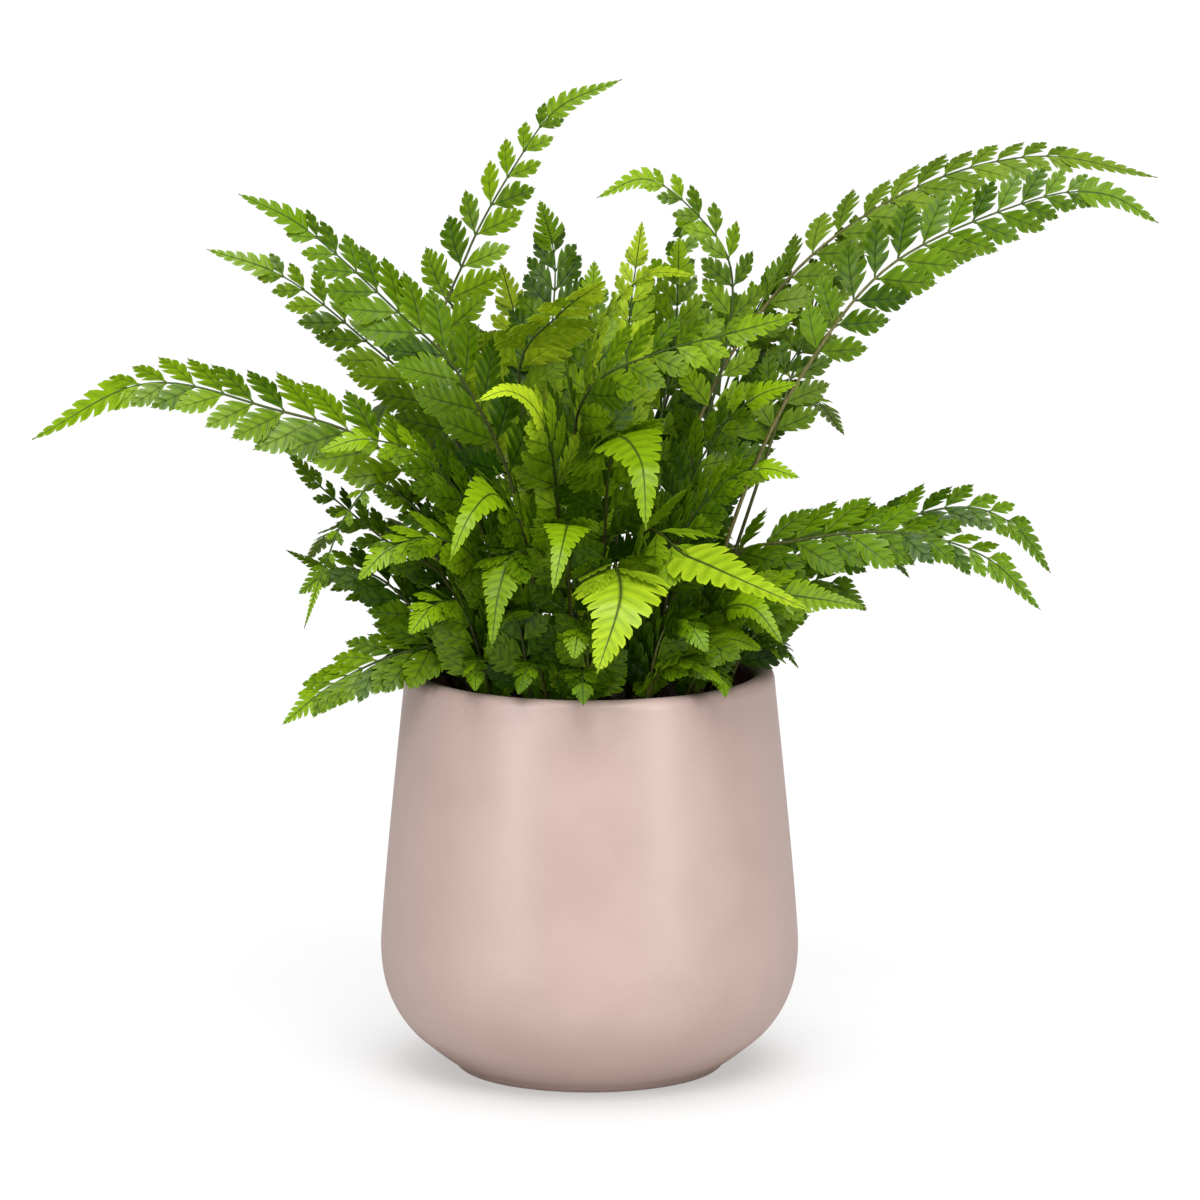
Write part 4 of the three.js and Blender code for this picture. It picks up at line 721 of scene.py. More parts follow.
def leaf_material(tone, pattern):
    """A leaf's skin with sunken veins and a soft shine, mixed with light that comes through the blade."""
    material, tree = new_material("leaf_" + tone)
    colour, glow, roughness, height = marks_of(tree, pattern, *LEAF_TONES[tone])
    shine = skin(tree, colour, roughness, height, depth=0.0003, strength=0.5, specular=0.19)
    through = add_node(tree, "ShaderNodeBsdfTranslucent", {"Color": glow}).outputs[0]
    put_surface(tree, mixed(tree, 0.26, shine, through))
    return material


def stem_material():
    """A stem's skin: brown-black at its foot, olive along it and green at the tip, by the tint's second
    value, with streaks along it. A stem with a third value of 1 is tan where others are olive."""
    material, tree = new_material("stem_skin")
    own, way, tan = leaf_tint(tree)
    long_place = add_node(tree, "ShaderNodeMapping", {"Vector": object_place(tree), "Scale": (1, 1, 0.12)})
    streaks = noise(tree, long_place.outputs[0], 1500)
    colour = blend(tree, ramp(tree, way, 0.06, 0.3), STEM_FOOT, blend(tree, own, *STEM_OLIVES))
    colour = blend(tree, tan, colour, STEM_TAN)
    colour = blend(tree, ramp(tree, way, 0.4, 0.9), colour, STEM_TIP)
    colour = blend(tree, ramp(tree, streaks, 0.35, 0.65), toned(tree, colour, 0.55), colour)
    put_surface(tree, skin(tree, colour, 0.42, streaks, depth=0.0002, strength=0.6, specular=0.25))
    return material


def ceramic_material():
    """Satin ceramic: dusty pink with faint clouds, with painted shade that makes it darker and browner low on
    the bowl and a painted highlight along the rim's edge, bare and dark inside, with a fine grain and a few
    pits just under the rim."""
    material, tree = new_material("satin_ceramic")
    place = object_place(tree)
    height = add_node(tree, "ShaderNodeSeparateXYZ", {0: place}).outputs[2]
    flat = add_node(tree, "ShaderNodeMapping", {"Vector": place, "Scale": (1, 1, 0)}).outputs[0]
    radius = add_node(tree, "ShaderNodeVectorMath", {0: flat}, operation="LENGTH").outputs["Value"]
    clouds, specks = noise(tree, place, 26, detail=4, roughness=0.55), noise(tree, place, 900, detail=2)
    colour = blend(tree, ramp(tree, clouds, 0.32, 0.68), *PINKS)
    # Painted shade: darker and browner towards the foot
    low = maths(tree, "MULTIPLY", ramp(tree, height, *LOW_SHADE_BAND, 1, 0), 0.6)
    colour = blend(tree, low, colour, LOW_SHADE_PINK)
    colour = blend(tree, ramp(tree, specks, 0.62, 0.72), colour, toned(tree, colour, 0.93))
    # Painted highlight along the top of the lip
    colour = blend(tree, maths(tree, "MULTIPLY", ramp(tree, height, *RIM_HIGHLIGHT_BAND), 0.35), colour, RIM_HIGHLIGHT_PINK)
    inside = maths(tree, "MULTIPLY", ramp(tree, radius, *BARE_RADII, 1, 0),
                   ramp(tree, height, *BARE_TO, 1, 0), ramp(tree, height, *BARE_FROM))
    colour = blend(tree, inside, colour, BARE_CLAY)
    near_rim = maths(tree, "MULTIPLY", ramp(tree, height, *PITS_FROM), ramp(tree, height, *PITS_TO, 1, 0))
    pits = maths(tree, "MULTIPLY", ramp(tree, spots(tree, place, 210.0), 0.1, 0.24, 1, 0), near_rim,
                 ramp(tree, noise(tree, place, 48, detail=1), 0.56, 0.62))
    relief = maths(tree, "ADD", maths(tree, "MULTIPLY", clouds, 1.2), maths(tree, "MULTIPLY", specks, 0.06))
    relief = maths(tree, "SUBTRACT", relief, maths(tree, "MULTIPLY", pits, 0.6))
    roughness = ramp(tree, clouds, 0.3, 0.7, 0.36, 0.46)
    put_surface(tree, skin(tree, colour, roughness, relief, depth=0.0006, strength=0.6))
    return material


def soil_pattern_group():
    """The marks of damp potting soil: crumbs between two browns, and their height with finer bits."""
    tree, given, out = new_group(
        "soil_pattern", [("Dark", COLOUR), ("Light", COLOUR)], [("Colour", COLOUR), ("Height", VALUE)])
    place = object_place(tree)
    crumbs, bits = noise(tree, place, 420, detail=4, roughness=0.65), spots(tree, place, 520.0)
    share = maths(tree, "MULTIPLY", ramp(tree, crumbs, 0.3, 0.75), ramp(tree, bits, 0.1, 0.6))
    colour = blend(tree, share, given.outputs["Dark"], given.outputs["Light"])
    tree.links.new(colour, out.inputs["Colour"])
    tree.links.new(maths(tree, "ADD", crumbs, maths(tree, "MULTIPLY", bits, -0.5)), out.inputs["Height"])
    return tree


def soil_material(name, pattern):
    """The skin of soil, crumbs or fibres: two browns of its own, rough, with a broken surface."""
    material, tree = new_material(name)
    colour, height = marks_of(tree, pattern, *SOILS[name])
    put_surface(tree, skin(tree, colour, 0.85, height, depth=0.0015, strength=0.9))
    return material


# Blades


def blade_outline(lobes, far_widths, near_widths, depths, angles=VEIN_ANGLES):
    """A lobed blade in shares of its length. Veins leave the rib forwards, more steeply near the root. A
    vein reaches as far as the half width, less a notch's depth between two lobes. Gives the veins' feet
    along the rib, and for five columns (far edge, far row, rib, near row and near edge) the places
    along and across, and the map: the lobe's count, and the signed share of the half width."""
    lobe = np.append((np.arange(lobes)[:, None] + LOBE_PHASES).ravel(), lobes)
    rise = np.append(np.tile(LOBE_REACH, lobes), 0)
    way = 1 - (1 - lobe / lobes) ** RIB_POWER
    foot = RIB_START + (RIB_END - RIB_START) * way
    reach = 1 - np.interp(way, (0, 1), depths) * (1 - rise)
    slope = np.tan(np.radians(np.interp(way, (0, 1), angles)))[:, None]
    far, near = np.interp(way, WAY, far_widths), np.interp(way, WAY, near_widths)
    half = np.stack([far, far, far, near, near], axis=1)
    inner = np.full_like(reach, INNER_ROW)
    vein = np.stack([reach, inner, 0 * inner, -inner, -reach], axis=1)
    across = half * vein
    chart = np.stack([lobe[:, None] + 0 * vein, vein], axis=-1)
    return foot, foot[:, None] + np.abs(across) / slope, across, chart


def with_point(outline, along):
    """The outline with a point after it, at a place along the rib."""
    foot, x, y, chart = outline
    last = np.stack([np.full(COLUMNS, chart[-1, 0, 0] + 0.4), ACROSS * 0.3], axis=-1)
    return (np.append(foot, 1), np.vstack([x, np.full(COLUMNS, along)]),
            np.vstack([y, ACROSS * POINT_WIDTH]), np.concatenate([chart, last[None]]))


def with_stalk(outline, length):
    """The outline with a narrow stalk before it, for a mean length in millimetres."""
    foot, x, y, chart = outline
    places = (0, RIB_START * 0.7)
    ends = [np.stack([np.full(COLUMNS, -1.0 + 0.01 * k), ACROSS * 0.05], axis=-1) for k in range(2)]
    return (np.concatenate([places, foot]), np.vstack([np.full(COLUMNS, place) for place in places] + [x]),
            np.vstack([ACROSS * (STALK_WIDTH / length)] * 2 + [y]), np.concatenate([ends, chart]))


def folded(y):
    """Height of a blade's halves: they rise from the rib and bend down to the edges."""
    return FOLD * np.abs(y) - CUP * y**2


def blade_shell(origin, rib, across, out, place, tint, chart, mirrored):
    """Thin closed blades. A point is the origin plus its places along the rib, across it and out of the
    blade, and the skins lie half the thickness above and below it. Sections are rings of ten points:
    five above from the far edge to the near one, and five below back again."""
    x, y, z = (part[..., None] for part in place)
    middle = origin + rib * x + across * y + out * z
    half = LEAF_THICKNESS / 2 * THICKNESS_ACROSS[:, None] * out
    rings = np.concatenate([middle + half, (middle - half)[:, :, ::-1]], axis=2)
    count, rows = rings.shape[:2]
    number = np.arange(COLUMNS - 1)
    start = np.stack([number, RING - 1 - number, RING - 2 - number, number + 1], axis=-1)
    end = (rows - 1) * RING + start[:, ::-1]
    one = np.concatenate([grid_faces(rows, RING), start, end])
    faces = one[None] + (np.arange(count) * rows * RING)[:, None, None]
    faces = np.where(np.asarray(mirrored)[:, None, None], faces[..., ::-1], faces).reshape(-1, 4)
    ring_chart = np.concatenate([chart, chart[:, ::-1]], axis=1)
    charts = np.broadcast_to(ring_chart, (count, rows, RING, 2)).reshape(-1, 2)
    below = np.broadcast_to(np.repeat([0.0, 1.0], COLUMNS), (count, rows, RING))
    own, way = (np.broadcast_to(tint[:, k, None, None], below.shape) for k in range(2))
    tints = np.stack([own, way, below], axis=-1).reshape(-1, 3)
    at_edge = np.isin(np.arange(RING), (0, COLUMNS - 1, COLUMNS, RING - 1))
    edges = np.broadcast_to(at_edge, below.shape).ravel()
    return rings.reshape(-1, 3), faces, charts, tints, edges


def meets_wall(root, reach):
    """Whether a leaflet's rib passes through the zone of the pot's upper wall, by points along it."""
    inner, outer, top = WALL_ZONE
    along = root[..., None, :] + reach[..., None, :] * np.linspace(0, 1, WALL_TESTS)[:, None]
    radius = np.hypot(along[..., 0], along[..., 1])
    return ((radius > inner) & (radius < outer) & (along[..., 2] < top)).any(axis=-1)


def merged_tip(frond):
    """From which share of its blade a frond's leaflets are one, and its half width there as a share of
    the leaflets' length."""
    return BROAD_TIPS.get(frond.name, (MERGED_FROM, MERGED_WIDTH))


def on_stem(frond, way):
    """Shares of a frond's stem at shares of its blade, which starts where the bare stem ends."""
    return frond.bare + (1 - frond.bare) * way


def leaflet_pairs(frond):
    """Numbers of a frond's leaflet pairs and their shares of the blade, by the part's own rule for a
    greater number of pairs, and the share where its tip blade starts, a part of a step past the last
    pair. Pairs below the blade's own have numbers under 0."""
    more = INNER_PAIRS if frond.pairs < INNER_FEWER_THAN else MORE_PAIRS
    pairs = frond.pairs + more + EXTRA_PAIRS.get(frond.name, 0)
    pair = np.arange(0 if frond.name in SHOWN_STEMS else -LOW_PAIRS, pairs)
    way = 1 - (1 - PAIRED_SHARE * (pair + FIRST_PAIR) / pairs) ** PAIR_POWER
    apart = way < merged_tip(frond)[0]
    pair, way = pair[apart], way[apart]
    tip = way[-1] + TIP_GAP * (way[-1] - way[-2])
    above_soil = stem_line(frond.path, on_stem(frond, way))[0][:, 2] > LOWEST_LEAFLET
    return pair[above_soil], way[above_soil], tip


def leaflet_length(frond, way, chance):
    """Length of a frond's leaflets at shares of its blade, each with a draw. It falls towards the frond's
    tip by a power of the share, and evenly from the blade's start down to the soil. In a longer frond it
    also falls from the end of its first leaflets down to that start."""
    far, low = np.maximum(way, 0), np.minimum(way, 0)
    inner = frond.pairs < INNER_FEWER_THAN
    longest = frond.longest * (INNER_SHARE if inner else 1)
    length = longest * (1 - far**LENGTH_POWER) * (1 + LENGTH_SPREAD * chance) * (1 + LOW_SHRINK * low)
    if inner:
        return length
    return length * (1 - ROOT_SHRINK * np.clip(1 - far / ROOT_SHRINK_END, 0, 1))


def leaflets_of(index, frond):
    """The root, directions and length of each leaflet. A leaflet leaves the stem at an angle that falls
    towards the frond's tip, tilted by its draw and raised by the first lift that clears the pot, and it
    is rolled about its rib. One that no lift clears is left out."""
    pair, way, _ = leaflet_pairs(frond)
    frames = stem_frames(frond.path, frond.face, on_stem(frond, way))
    root, along, up, right = (part[:, None] for part in frames)
    side = np.array([1, -1])

    def vary(kind):
        return draw(index + 1, 2 * pair[:, None] + side + 3, kind)[..., None]

    def directions(lift):
        tilt = np.radians(TILT_SPREAD * vary(TILT_DRAW) + lift)
        sideways = outward * np.cos(tilt) + up * np.sin(tilt)
        raised = up * np.cos(tilt) - outward * np.sin(tilt)
        rib = along * np.cos(angle) + sideways * np.sin(angle)
        flat = along * np.sin(angle) - sideways * np.cos(angle)
        across = flat * np.cos(roll) + raised * np.sin(roll)
        out = raised * np.cos(roll) - flat * np.sin(roll)
        return np.stack([rib, across, out])

    place = way[:, None, None]
    opening = ROOT_ANGLE + (TIP_ANGLE - ROOT_ANGLE) * np.maximum(place, 0)
    angle = np.radians(opening + ANGLE_SPREAD * vary(ANGLE_DRAW))
    roll = np.radians(ROLL + ROLL_SPREAD * vary(ROLL_DRAW))
    length = leaflet_length(frond, place, vary(LENGTH_DRAW))
    outward = right * side[:, None]
    root = np.broadcast_to(root, outward.shape)
    chosen, free = directions(LIFTS[0]), np.zeros(root.shape[:2], bool)
    for lift in LIFTS:
        tried = directions(lift)
        clear = ~meets_wall(root, tried[0] * length)
        chosen = np.where((clear & ~free)[..., None], tried, chosen)
        free |= clear
    kept = free.ravel()
    fields = {"root": root, "rib": chosen[0], "across": chosen[1], "out": chosen[2]}
    leaflets = {key: value.reshape(-1, 3)[kept] for key, value in fields.items()}
    each = {"length": length.ravel(), "mirrored": np.tile([False, True], len(way)), "way": np.repeat(way, 2)}
    return leaflets | {key: value[kept] for key, value in each.items()}


def openness(place):
    """How far out of the plant's thick middle a place is: 0 deep inside and 1 at its outer fronds."""
    reach = (np.asarray(place) - THICK_MIDDLE) / THICK_REACH
    return np.clip((np.linalg.norm(reach, axis=-1) - OPEN_FROM) / OPEN_OVER, 0, 1)


def leaf_lightness_with_painted_shade(place, own, spread, chance):
    """A leaf's lightness: its own with a draw's share of the spread, darkened by painted shade deep inside
    the plant.
    """
    return (own + spread * chance) * (DEEPEST_PAINTED_SHADE + (1 - DEEPEST_PAINTED_SHADE) * openness(place))


def leaflet_blades(index, leaflets):
    """Fine blades for a frond's leaflets, those with as many lobes together. Out of the blade's plane
    the halves rise from the rib and bend down to the edges, the tip droops, each lobe is a low wave, and
    the blade is twisted and curved towards the frond's tip a little. The width varies from leaflet to
    leaflet and in slow waves along each one."""
    lobes = np.clip(np.round(leaflets["length"] / LOBE_LENGTH), FEWEST_LOBES, MOST_LOBES).astype(int)
    shells = []
    for count in np.unique(lobes):
        pick = np.nonzero(lobes == count)[0]
        length = leaflets["length"][pick][:, None, None]
        outline = with_point(blade_outline(count, FAR_WIDTHS, NEAR_WIDTHS, LOBE_DEPTHS), 1)
        _, x, y, chart = with_stalk(outline, length.mean())
        ripple = np.sin(2 * np.pi * chart[..., 0]) * chart[..., 1] ** 2

        def vary(kind):
            return draw(index + 1, pick, kind)[:, None, None]

        x = np.broadcast_to(x, (len(pick), *x.shape))
        uneven = np.sin(UNEVEN_RATE * chart[..., 0] + 3 * vary(UNEVEN_DRAW) + 2 * np.sign(chart[..., 1]))
        y = y * (1 + WIDTH_SPREAD * vary(WIDTH_DRAW) + UNEVEN * uneven) + SICKLE * x**2
        droop = DROOP + DROOP_SPREAD * vary(DROOP_DRAW)
        twist, wave = TWIST * vary(TWIST_DRAW), WAVE * (1 + vary(WAVE_DRAW))
        z = folded(y) - droop * x**2 + twist * x * y + wave * ripple
        root = leaflets["root"][pick]
        spread = LEAF_SPREAD - SPREAD_LOSS * openness(root)
        # Each leaflet's own lightness, darkened by painted shade deep inside the plant
        own = leaf_lightness_with_painted_shade(root, LEAF_LIGHTNESS, spread, draw(index + 1, pick, TONE_DRAW))
        tint = np.column_stack([own, np.maximum(leaflets["way"][pick], 0)])
        directions = (leaflets[key][pick][:, None, None] for key in ("root", "rib", "across", "out"))
        shells.append(blade_shell(*directions, (x * length, y * length, z * length), tint, chart,
                                  leaflets["mirrored"][pick]))
    return shells


def tip_blade(index, frond):
    """The lobed blade on the last stretch of a frond's stem, which narrows to a point. Its sections stand
    on the stem, and its half width starts as a share of what the leaflets would reach there."""
    merged, width = leaflet_pairs(frond)[2], merged_tip(frond)[1]
    start = on_stem(frond, merged)
    length = (1 - start) * chords(frond.path)[1].sum()
    half = width * frond.longest * (1 - merged**LENGTH_POWER)
    if frond.name in BROAD_TIPS:
        lobes, widths, depths, angles = BROAD_LOBES, BROAD_WIDTHS, BROAD_DEPTHS, BROAD_ANGLES
    else:
        lobes = int(np.clip(round(length / half / TIP_LOBE_WIDTH), *TIP_LOBES))
        widths, depths, angles = TIP_WIDTHS, TIP_DEPTHS, VEIN_ANGLES
    widths = np.array(widths) * half / length
    foot, x, y, chart = blade_outline(lobes, widths, widths, depths, angles)
    share = (foot - RIB_START) / (1 - RIB_START)
    share, x, y, chart = with_point((share, x - foot[:, None], y, chart), 0)
    centre, along, up, side = stem_frames(frond.path, frond.face, start + (1 - start) * share)
    # The tip blade's own lightness, darkened by painted shade deep inside the plant
    own = leaf_lightness_with_painted_shade(centre[0], TIP_LIGHTNESS, TIP_SPREAD, draw(index + 1, TIP_NUMBER, TONE_DRAW))
    directions = (part[None, :, None] for part in (centre, along, side, up))
    places = (x[None] * length, y[None] * length, folded(y)[None] * length)
    return blade_shell(*directions, places, np.array([[own, TIP_WAY]]), chart, [True])


def frond_stem(index, frond):
    """A frond's round stem from its foot in the soil to its tip."""
    share = np.linspace(0, 1, STEM_ROWS)
    centre, along, up, side = stem_frames(frond.path, frond.face, share)
    radius = STEM_SHARE * stem_radius(share) * (1 - STEM_END * share**4)
    points, faces = tube(centre, side, up, radius, STEM_SIDES)
    row = np.append(np.repeat(share, STEM_SIDES), [0, 1])
    own = np.full_like(row, 0.5 + 0.5 * draw(index + 1, STEM_NUMBER, UNEVEN_DRAW))
    return points, faces, np.stack([own, row, np.full_like(row, frond.name in TAN_STEMS)], axis=-1)


def low_sprig(number):
    """A low sprig in the fronds' own form. It rises from the soil near the wall, passes over the rim and
    bends down, and its draws shift it round the pot, swing its tip, and make it longer or higher."""
    shift, swing, reach, lift = (draw(number + 1, kind, SPRIG_DRAW) for kind in range(4))
    turn = 2 * np.pi * (number + SPRIG_SHIFT * shift) / SPRIGS
    turn = turn + np.radians(SPRIG_SWING * swing) * SPRIG_STEPS**2
    radius = SPRIG_RADII + SPRIG_REACH * reach * SPRIG_STEPS
    path = np.column_stack([radius * np.sin(turn), -radius * np.cos(turn),
                            SPRIG_HEIGHTS + SPRIG_LIFT * lift * SPRIG_STEPS])
    face = (SPRIG_FACING * np.sin(turn[-1]), -SPRIG_FACING * np.cos(turn[-1]), 1)
    tone = ("deep", "mid")[number % 2]
    return Frond(f"low_sprig_{number + 1:02d}", tone, SPRIG_PAIRS, SPRIG_LEAFLET, SPRIG_BARE, face, path)


def build_frond(index, frond, leaf_skins, stem_skin, stands_for=()):
    """A frond's leaves as one piece, which may stand for a CAD node, and its stem as another."""
    shells = [*leaflet_blades(index, leaflets_of(index, frond)), tip_blade(index, frond)]
    points, faces = joined([(points, [faces]) for points, faces, *_ in shells])
    charts, tints, edges = (np.concatenate([shell[k] for shell in shells]) for k in (2, 3, 4))
    new_piece("leaves_" + frond.name, points, faces, leaf_skins[frond.tone], stands_for,
              uv=charts, tint=tints, edge=edges)
    points, faces, tints = frond_stem(index, frond)
    new_piece("stem_" + frond.name, points, faces, stem_skin, tint=tints)


# Pot and soil


def revolved(profile, sides):
    """A closed solid turned about the upright axis, from a profile whose two ends are on the axis."""
    profile = np.asarray(profile, float)
    angle = 2 * np.pi * np.arange(sides) / sides
    turned = profile[1:-1, None, :1] * np.stack([np.cos(angle), np.sin(angle)], axis=-1)
    height = np.broadcast_to(profile[1:-1, None, 1:], (*turned.shape[:2], 1))
    rows = len(profile) - 2
    poles = [[0, 0, profile[0, 1]], [0, 0, profile[-1, 1]]]
    points = np.vstack([np.concatenate([turned, height], axis=-1).reshape(-1, 3), poles])
    return points, capped_faces(rows, sides)


def smooth_profile(corners, rows):
    """Rows on a smooth curve through a profile's corners, at even steps between them."""
    path = [(radius, 0, height) for radius, height in corners]
    return curve_at(path, np.linspace(0, 1, rows))[:, [0, 2]]


def build_pot(material):
    """The pot: its foot, its smooth outer wall, a rounded lip and the inner wall down to the floor."""
    profile = np.vstack([POT_FOOT, smooth_profile(POT_WALL, WALL_ROWS), smooth_profile(POT_LIP, LIP_ROWS),
                         POT_INSIDE])
    points, faces = revolved(profile, POT_SIDES)
    new_piece("pot_shell", points, faces, material, ["pot"])


def soil_height(x, y):
    """Height of the soil: a low crown with lumps of three sizes, which fade out at the pot's wall."""
    inward = np.clip(1 - np.hypot(x, y) / SOIL_RADIUS, 0, 1)
    (rate_x, start_x), (rate_y, start_y) = SOIL_WAVES
    lump = SOIL_LUMP * np.sin(rate_x * x + start_x) * np.cos(rate_y * y + start_y)
    fine = sum(height * smooth_noise(x, y, scale, seed) for height, scale, seed in SOIL_GRAINS)
    return SOIL_TOP + SOIL_CROWN * inward + np.minimum(1, SOIL_FADE * inward) * (lump + fine)


def build_soil(material):
    """The soil in the pot as a closed plug, with a lumpy top that meets the wall."""
    radius = SOIL_RADIUS * np.linspace(1, 0, SOIL_ROWS)
    top = np.column_stack([radius, np.full(SOIL_ROWS, SOIL_TOP)])
    profile = np.vstack([[(0, SOIL_TOP - SOIL_DEPTH), (SOIL_RADIUS, SOIL_TOP - SOIL_DEPTH)], top])
    points, faces = revolved(profile, SOIL_SIDES)
    upper = points[:, 2] > SOIL_TOP - 1
    points[upper, 2] = soil_height(points[upper, 0], points[upper, 1])
    new_piece("soil_bed", points, faces, material, ["potting_soil"])


def build_crumbs(material):
    """Crumbs on the soil: egg shapes of few faces, each stretched, turned and dented by its own draw."""
    rng = np.random.default_rng(CRUMB_SEED)
    tilt = np.pi * np.arange(1, CRUMB_RINGS + 1)[:, None] / (CRUMB_RINGS + 1)
    turn = 2 * np.pi * np.arange(CRUMB_SIDES) / CRUMB_SIDES
    body = np.stack(np.broadcast_arrays(np.sin(tilt) * np.cos(turn), np.sin(tilt) * np.sin(turn),
                                        -np.cos(tilt)), axis=-1)
    body = np.vstack([body.reshape(-1, 3), [[0, 0, -1], [0, 0, 1]]])
    distance = (SOIL_RADIUS - CRUMB_MARGIN) * np.sqrt(rng.random(CRUMBS))
    angle = 2 * np.pi * rng.random(CRUMBS)
    x, y = distance * np.cos(angle), distance * np.sin(angle)
    size = CRUMB_SIZE + CRUMB_GROWTH * rng.random(CRUMBS) ** 3
    stretch = size[:, None] * rng.uniform(*CRUMB_STRETCH, (CRUMBS, 3))
    spin = rng.uniform(0, 2 * np.pi, CRUMBS)[:, None]
    shape = body[None] * stretch[:, None] * rng.uniform(*CRUMB_DENTS, (CRUMBS, len(body), 1))
    points = np.stack([shape[..., 0] * np.cos(spin) - shape[..., 1] * np.sin(spin) + x[:, None],
                       shape[..., 0] * np.sin(spin) + shape[..., 1] * np.cos(spin) + y[:, None],
                       shape[..., 2] + (soil_height(x, y) + CRUMB_RISE * size)[:, None]], axis=-1)
    step = (np.arange(CRUMBS) * len(body))[:, None, None]
    faces = [(group[None] + step).reshape(-1, group.shape[1])
             for group in capped_faces(CRUMB_RINGS, CRUMB_SIDES)]
    new_piece("soil_crumbs", points.reshape(-1, 3), faces, material)


def build_fibres(material):
    """Root fibres on the soil: thin three-sided strands that wander from a start in small bends."""
    rng = np.random.default_rng(FIBRE_SEED)
    strands = []
    for _ in range(FIBRES):
        steps = rng.integers(*FIBRE_STEPS)
        heading = rng.uniform(0, 2 * np.pi) + np.cumsum(rng.normal(0, FIBRE_BEND, steps))
        ahead = np.stack([np.cos(heading), np.sin(heading)], axis=-1)
        start = (SOIL_RADIUS - START_MARGIN) * np.sqrt(rng.random()) * ahead[0]
        flat = start + np.cumsum(FIBRE_STEP * ahead, axis=0)
        flat *= np.minimum(1, (SOIL_RADIUS - FIBRE_MARGIN) / np.hypot(*flat.T))[:, None]
        lift = FIBRE_LIFT + FIBRE_ARCH * np.abs(np.sin(np.linspace(0, 3, steps) + rng.uniform(0, 3)))
        path = np.column_stack([flat, soil_height(*flat.T) + lift])
        centre, along, up, side = stem_frames(path, (0, 0, 1), np.linspace(0, 1, FIBRE_ROWS))
        radius = np.full(FIBRE_ROWS, rng.uniform(*FIBRE_RADII))
        strands.append(tube(centre, side, up, radius, FIBRE_SIDES))
    points, faces = joined(strands)
    new_piece("soil_fibres", points, faces, material)


# Surroundings


def build_floor():
    """A pale floor. The camera sees it mostly as a white glow, with a painted soft shadow where the pot
    stands close over it, and it sends light back up to the pot."""
    material, tree = new_material("pale_floor")
    open_share = add_node(tree, "ShaderNodeAmbientOcclusion", {"Distance": 0.11}, samples=16).outputs["AO"]
    # Painted shadow: the camera's glow darkens where the pot hides the sky close above the floor
    painted_shadow = blend(tree, ramp(tree, open_share, 0.1, 1.0), FLOOR_PAINTED_SHADOW, FLOOR_SEEN)
    glow = add_node(tree, "ShaderNodeEmission", {"Color": painted_shadow, "Strength": FLOOR_STRENGTH}).outputs[0]
    lit, unseen = (add_node(tree, "ShaderNodeBsdfDiffuse", {"Color": colour}).outputs[0]
                   for colour in (FLOOR_LIT, FLOOR_UNSEEN))
    path = add_node(tree, "ShaderNodeLightPath")
    put_surface(tree, mixed(tree, path.outputs["Is Camera Ray"], unseen, mixed(tree, 0.85, lit, glow)))
    mesh = bpy.data.meshes.new("floor")
    corners = [(FLOOR_REACH * x, FLOOR_REACH * y, 0) for x, y in ((-1, -1), (1, -1), (1, 1), (-1, 1))]
    mesh.from_pydata(corners, [], [(0, 1, 2, 3)])
    mesh.materials.append(material)
    new_object("floor", mesh)


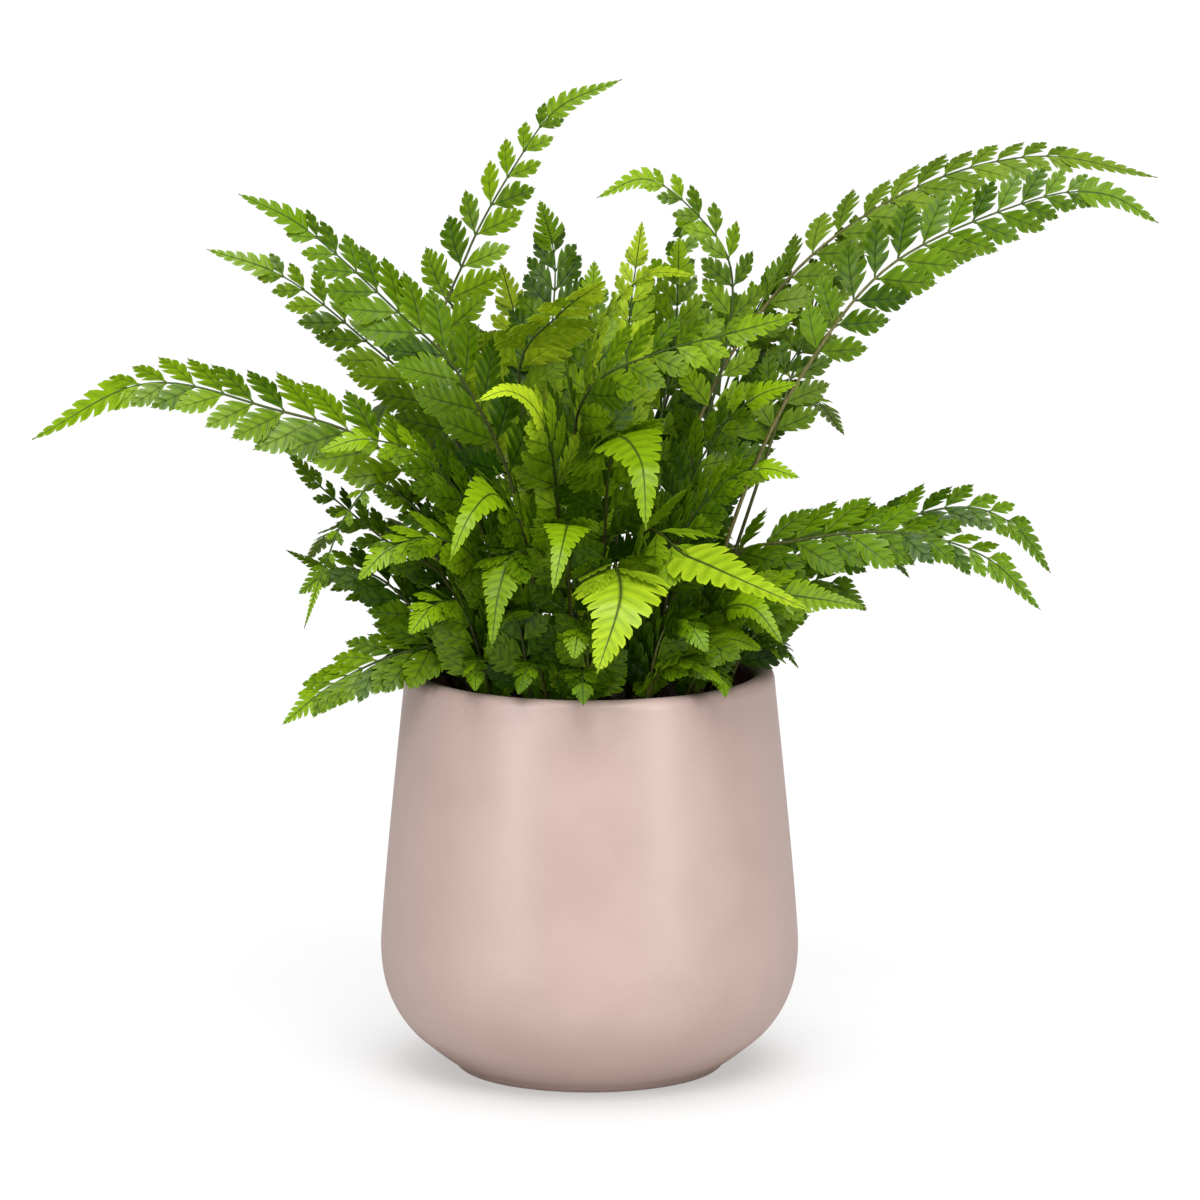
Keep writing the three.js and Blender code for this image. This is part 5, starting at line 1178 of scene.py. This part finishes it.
def build_world():
    """A studio that is white to the camera, an even soft light to everything else, and dim where it would
    be mirrored, so that only the lamps shine on the leaves."""
    world = bpy.data.worlds.new("studio")
    world.use_nodes = True
    tree = world.node_tree
    tree.nodes.clear()
    skies = [add_node(tree, "ShaderNodeBackground", {"Color": (1, 1, 1, 1), "Strength": strength})
             for strength in (WORLD_EVEN, WORLD_MIRRORED, WORLD_SEEN)]
    even, dim, white = (sky.outputs[0] for sky in skies)
    path = add_node(tree, "ShaderNodeLightPath").outputs
    lit = mixed(tree, path["Is Glossy Ray"], even, dim)
    add_node(tree, "ShaderNodeOutputWorld", {"Surface": mixed(tree, path["Is Camera Ray"], lit, white)})
    bpy.context.scene.world = world


def add_lamp(name, kind, place, target, **settings):
    """A lamp of a kind at a place, facing a target, with its own properties."""
    lamp = bpy.data.lights.new(name, kind)
    for key, value in settings.items():
        setattr(lamp, key, value)
    thing = new_object(name, lamp)
    thing.location = place
    thing.rotation_euler = (Vector(target) - Vector(place)).to_track_quat("-Z", "Y").to_euler()


def build_lights():
    """Two tall soft lights in front at the left and right, and a wide soft sun high in front."""
    width, height = SIDE_LIGHT_SIZE
    for name, (place, power) in SIDE_LIGHTS.items():
        add_lamp(name, "AREA", place, LIT_MIDDLE, shape="RECTANGLE", size=width, size_y=height, energy=power)
    add_lamp("soft_above", "SUN", SUN_PLACE, (0, 0, 0), energy=SUN_STRENGTH, angle=np.radians(SUN_WIDTH))


def build_camera():
    """The photograph's camera: a long lens that looks down a little at the plant."""
    pitch = np.radians(CAMERA_PITCH)
    lens = bpy.data.cameras.new("camera")
    lens.lens = CAMERA_LENS
    lens.sensor_width = SENSOR
    camera = new_object("camera", lens)
    x, y, z = CAMERA_AIM
    camera.location = [x * METRE, (y - CAMERA_DISTANCE * np.cos(pitch)) * METRE,
                       (z + CAMERA_DISTANCE * np.sin(pitch)) * METRE]
    camera.rotation_euler = (np.pi / 2 - pitch, 0, 0)
    bpy.context.scene.camera = camera


build_camera()
leaf_pattern = leaf_pattern_group()
leaf_skins = {tone: leaf_material(tone, leaf_pattern) for tone in LEAF_TONES}
stem_skin = stem_material()
for index, frond in enumerate(FRONDS):
    build_frond(index, frond, leaf_skins, stem_skin, ["frond_" + frond.name])
for number in range(SPRIGS):
    build_frond(len(FRONDS) + number, low_sprig(number), leaf_skins, stem_skin)
build_pot(ceramic_material())
soil_pattern = soil_pattern_group()
for build, soil in ((build_soil, "potting_mix"), (build_crumbs, "soil_crumb"), (build_fibres, "root_fibre")):
    build(soil_material(soil, soil_pattern))
build_floor()
build_world()
build_lights()
bpy.context.scene.view_settings.view_transform = "Standard"
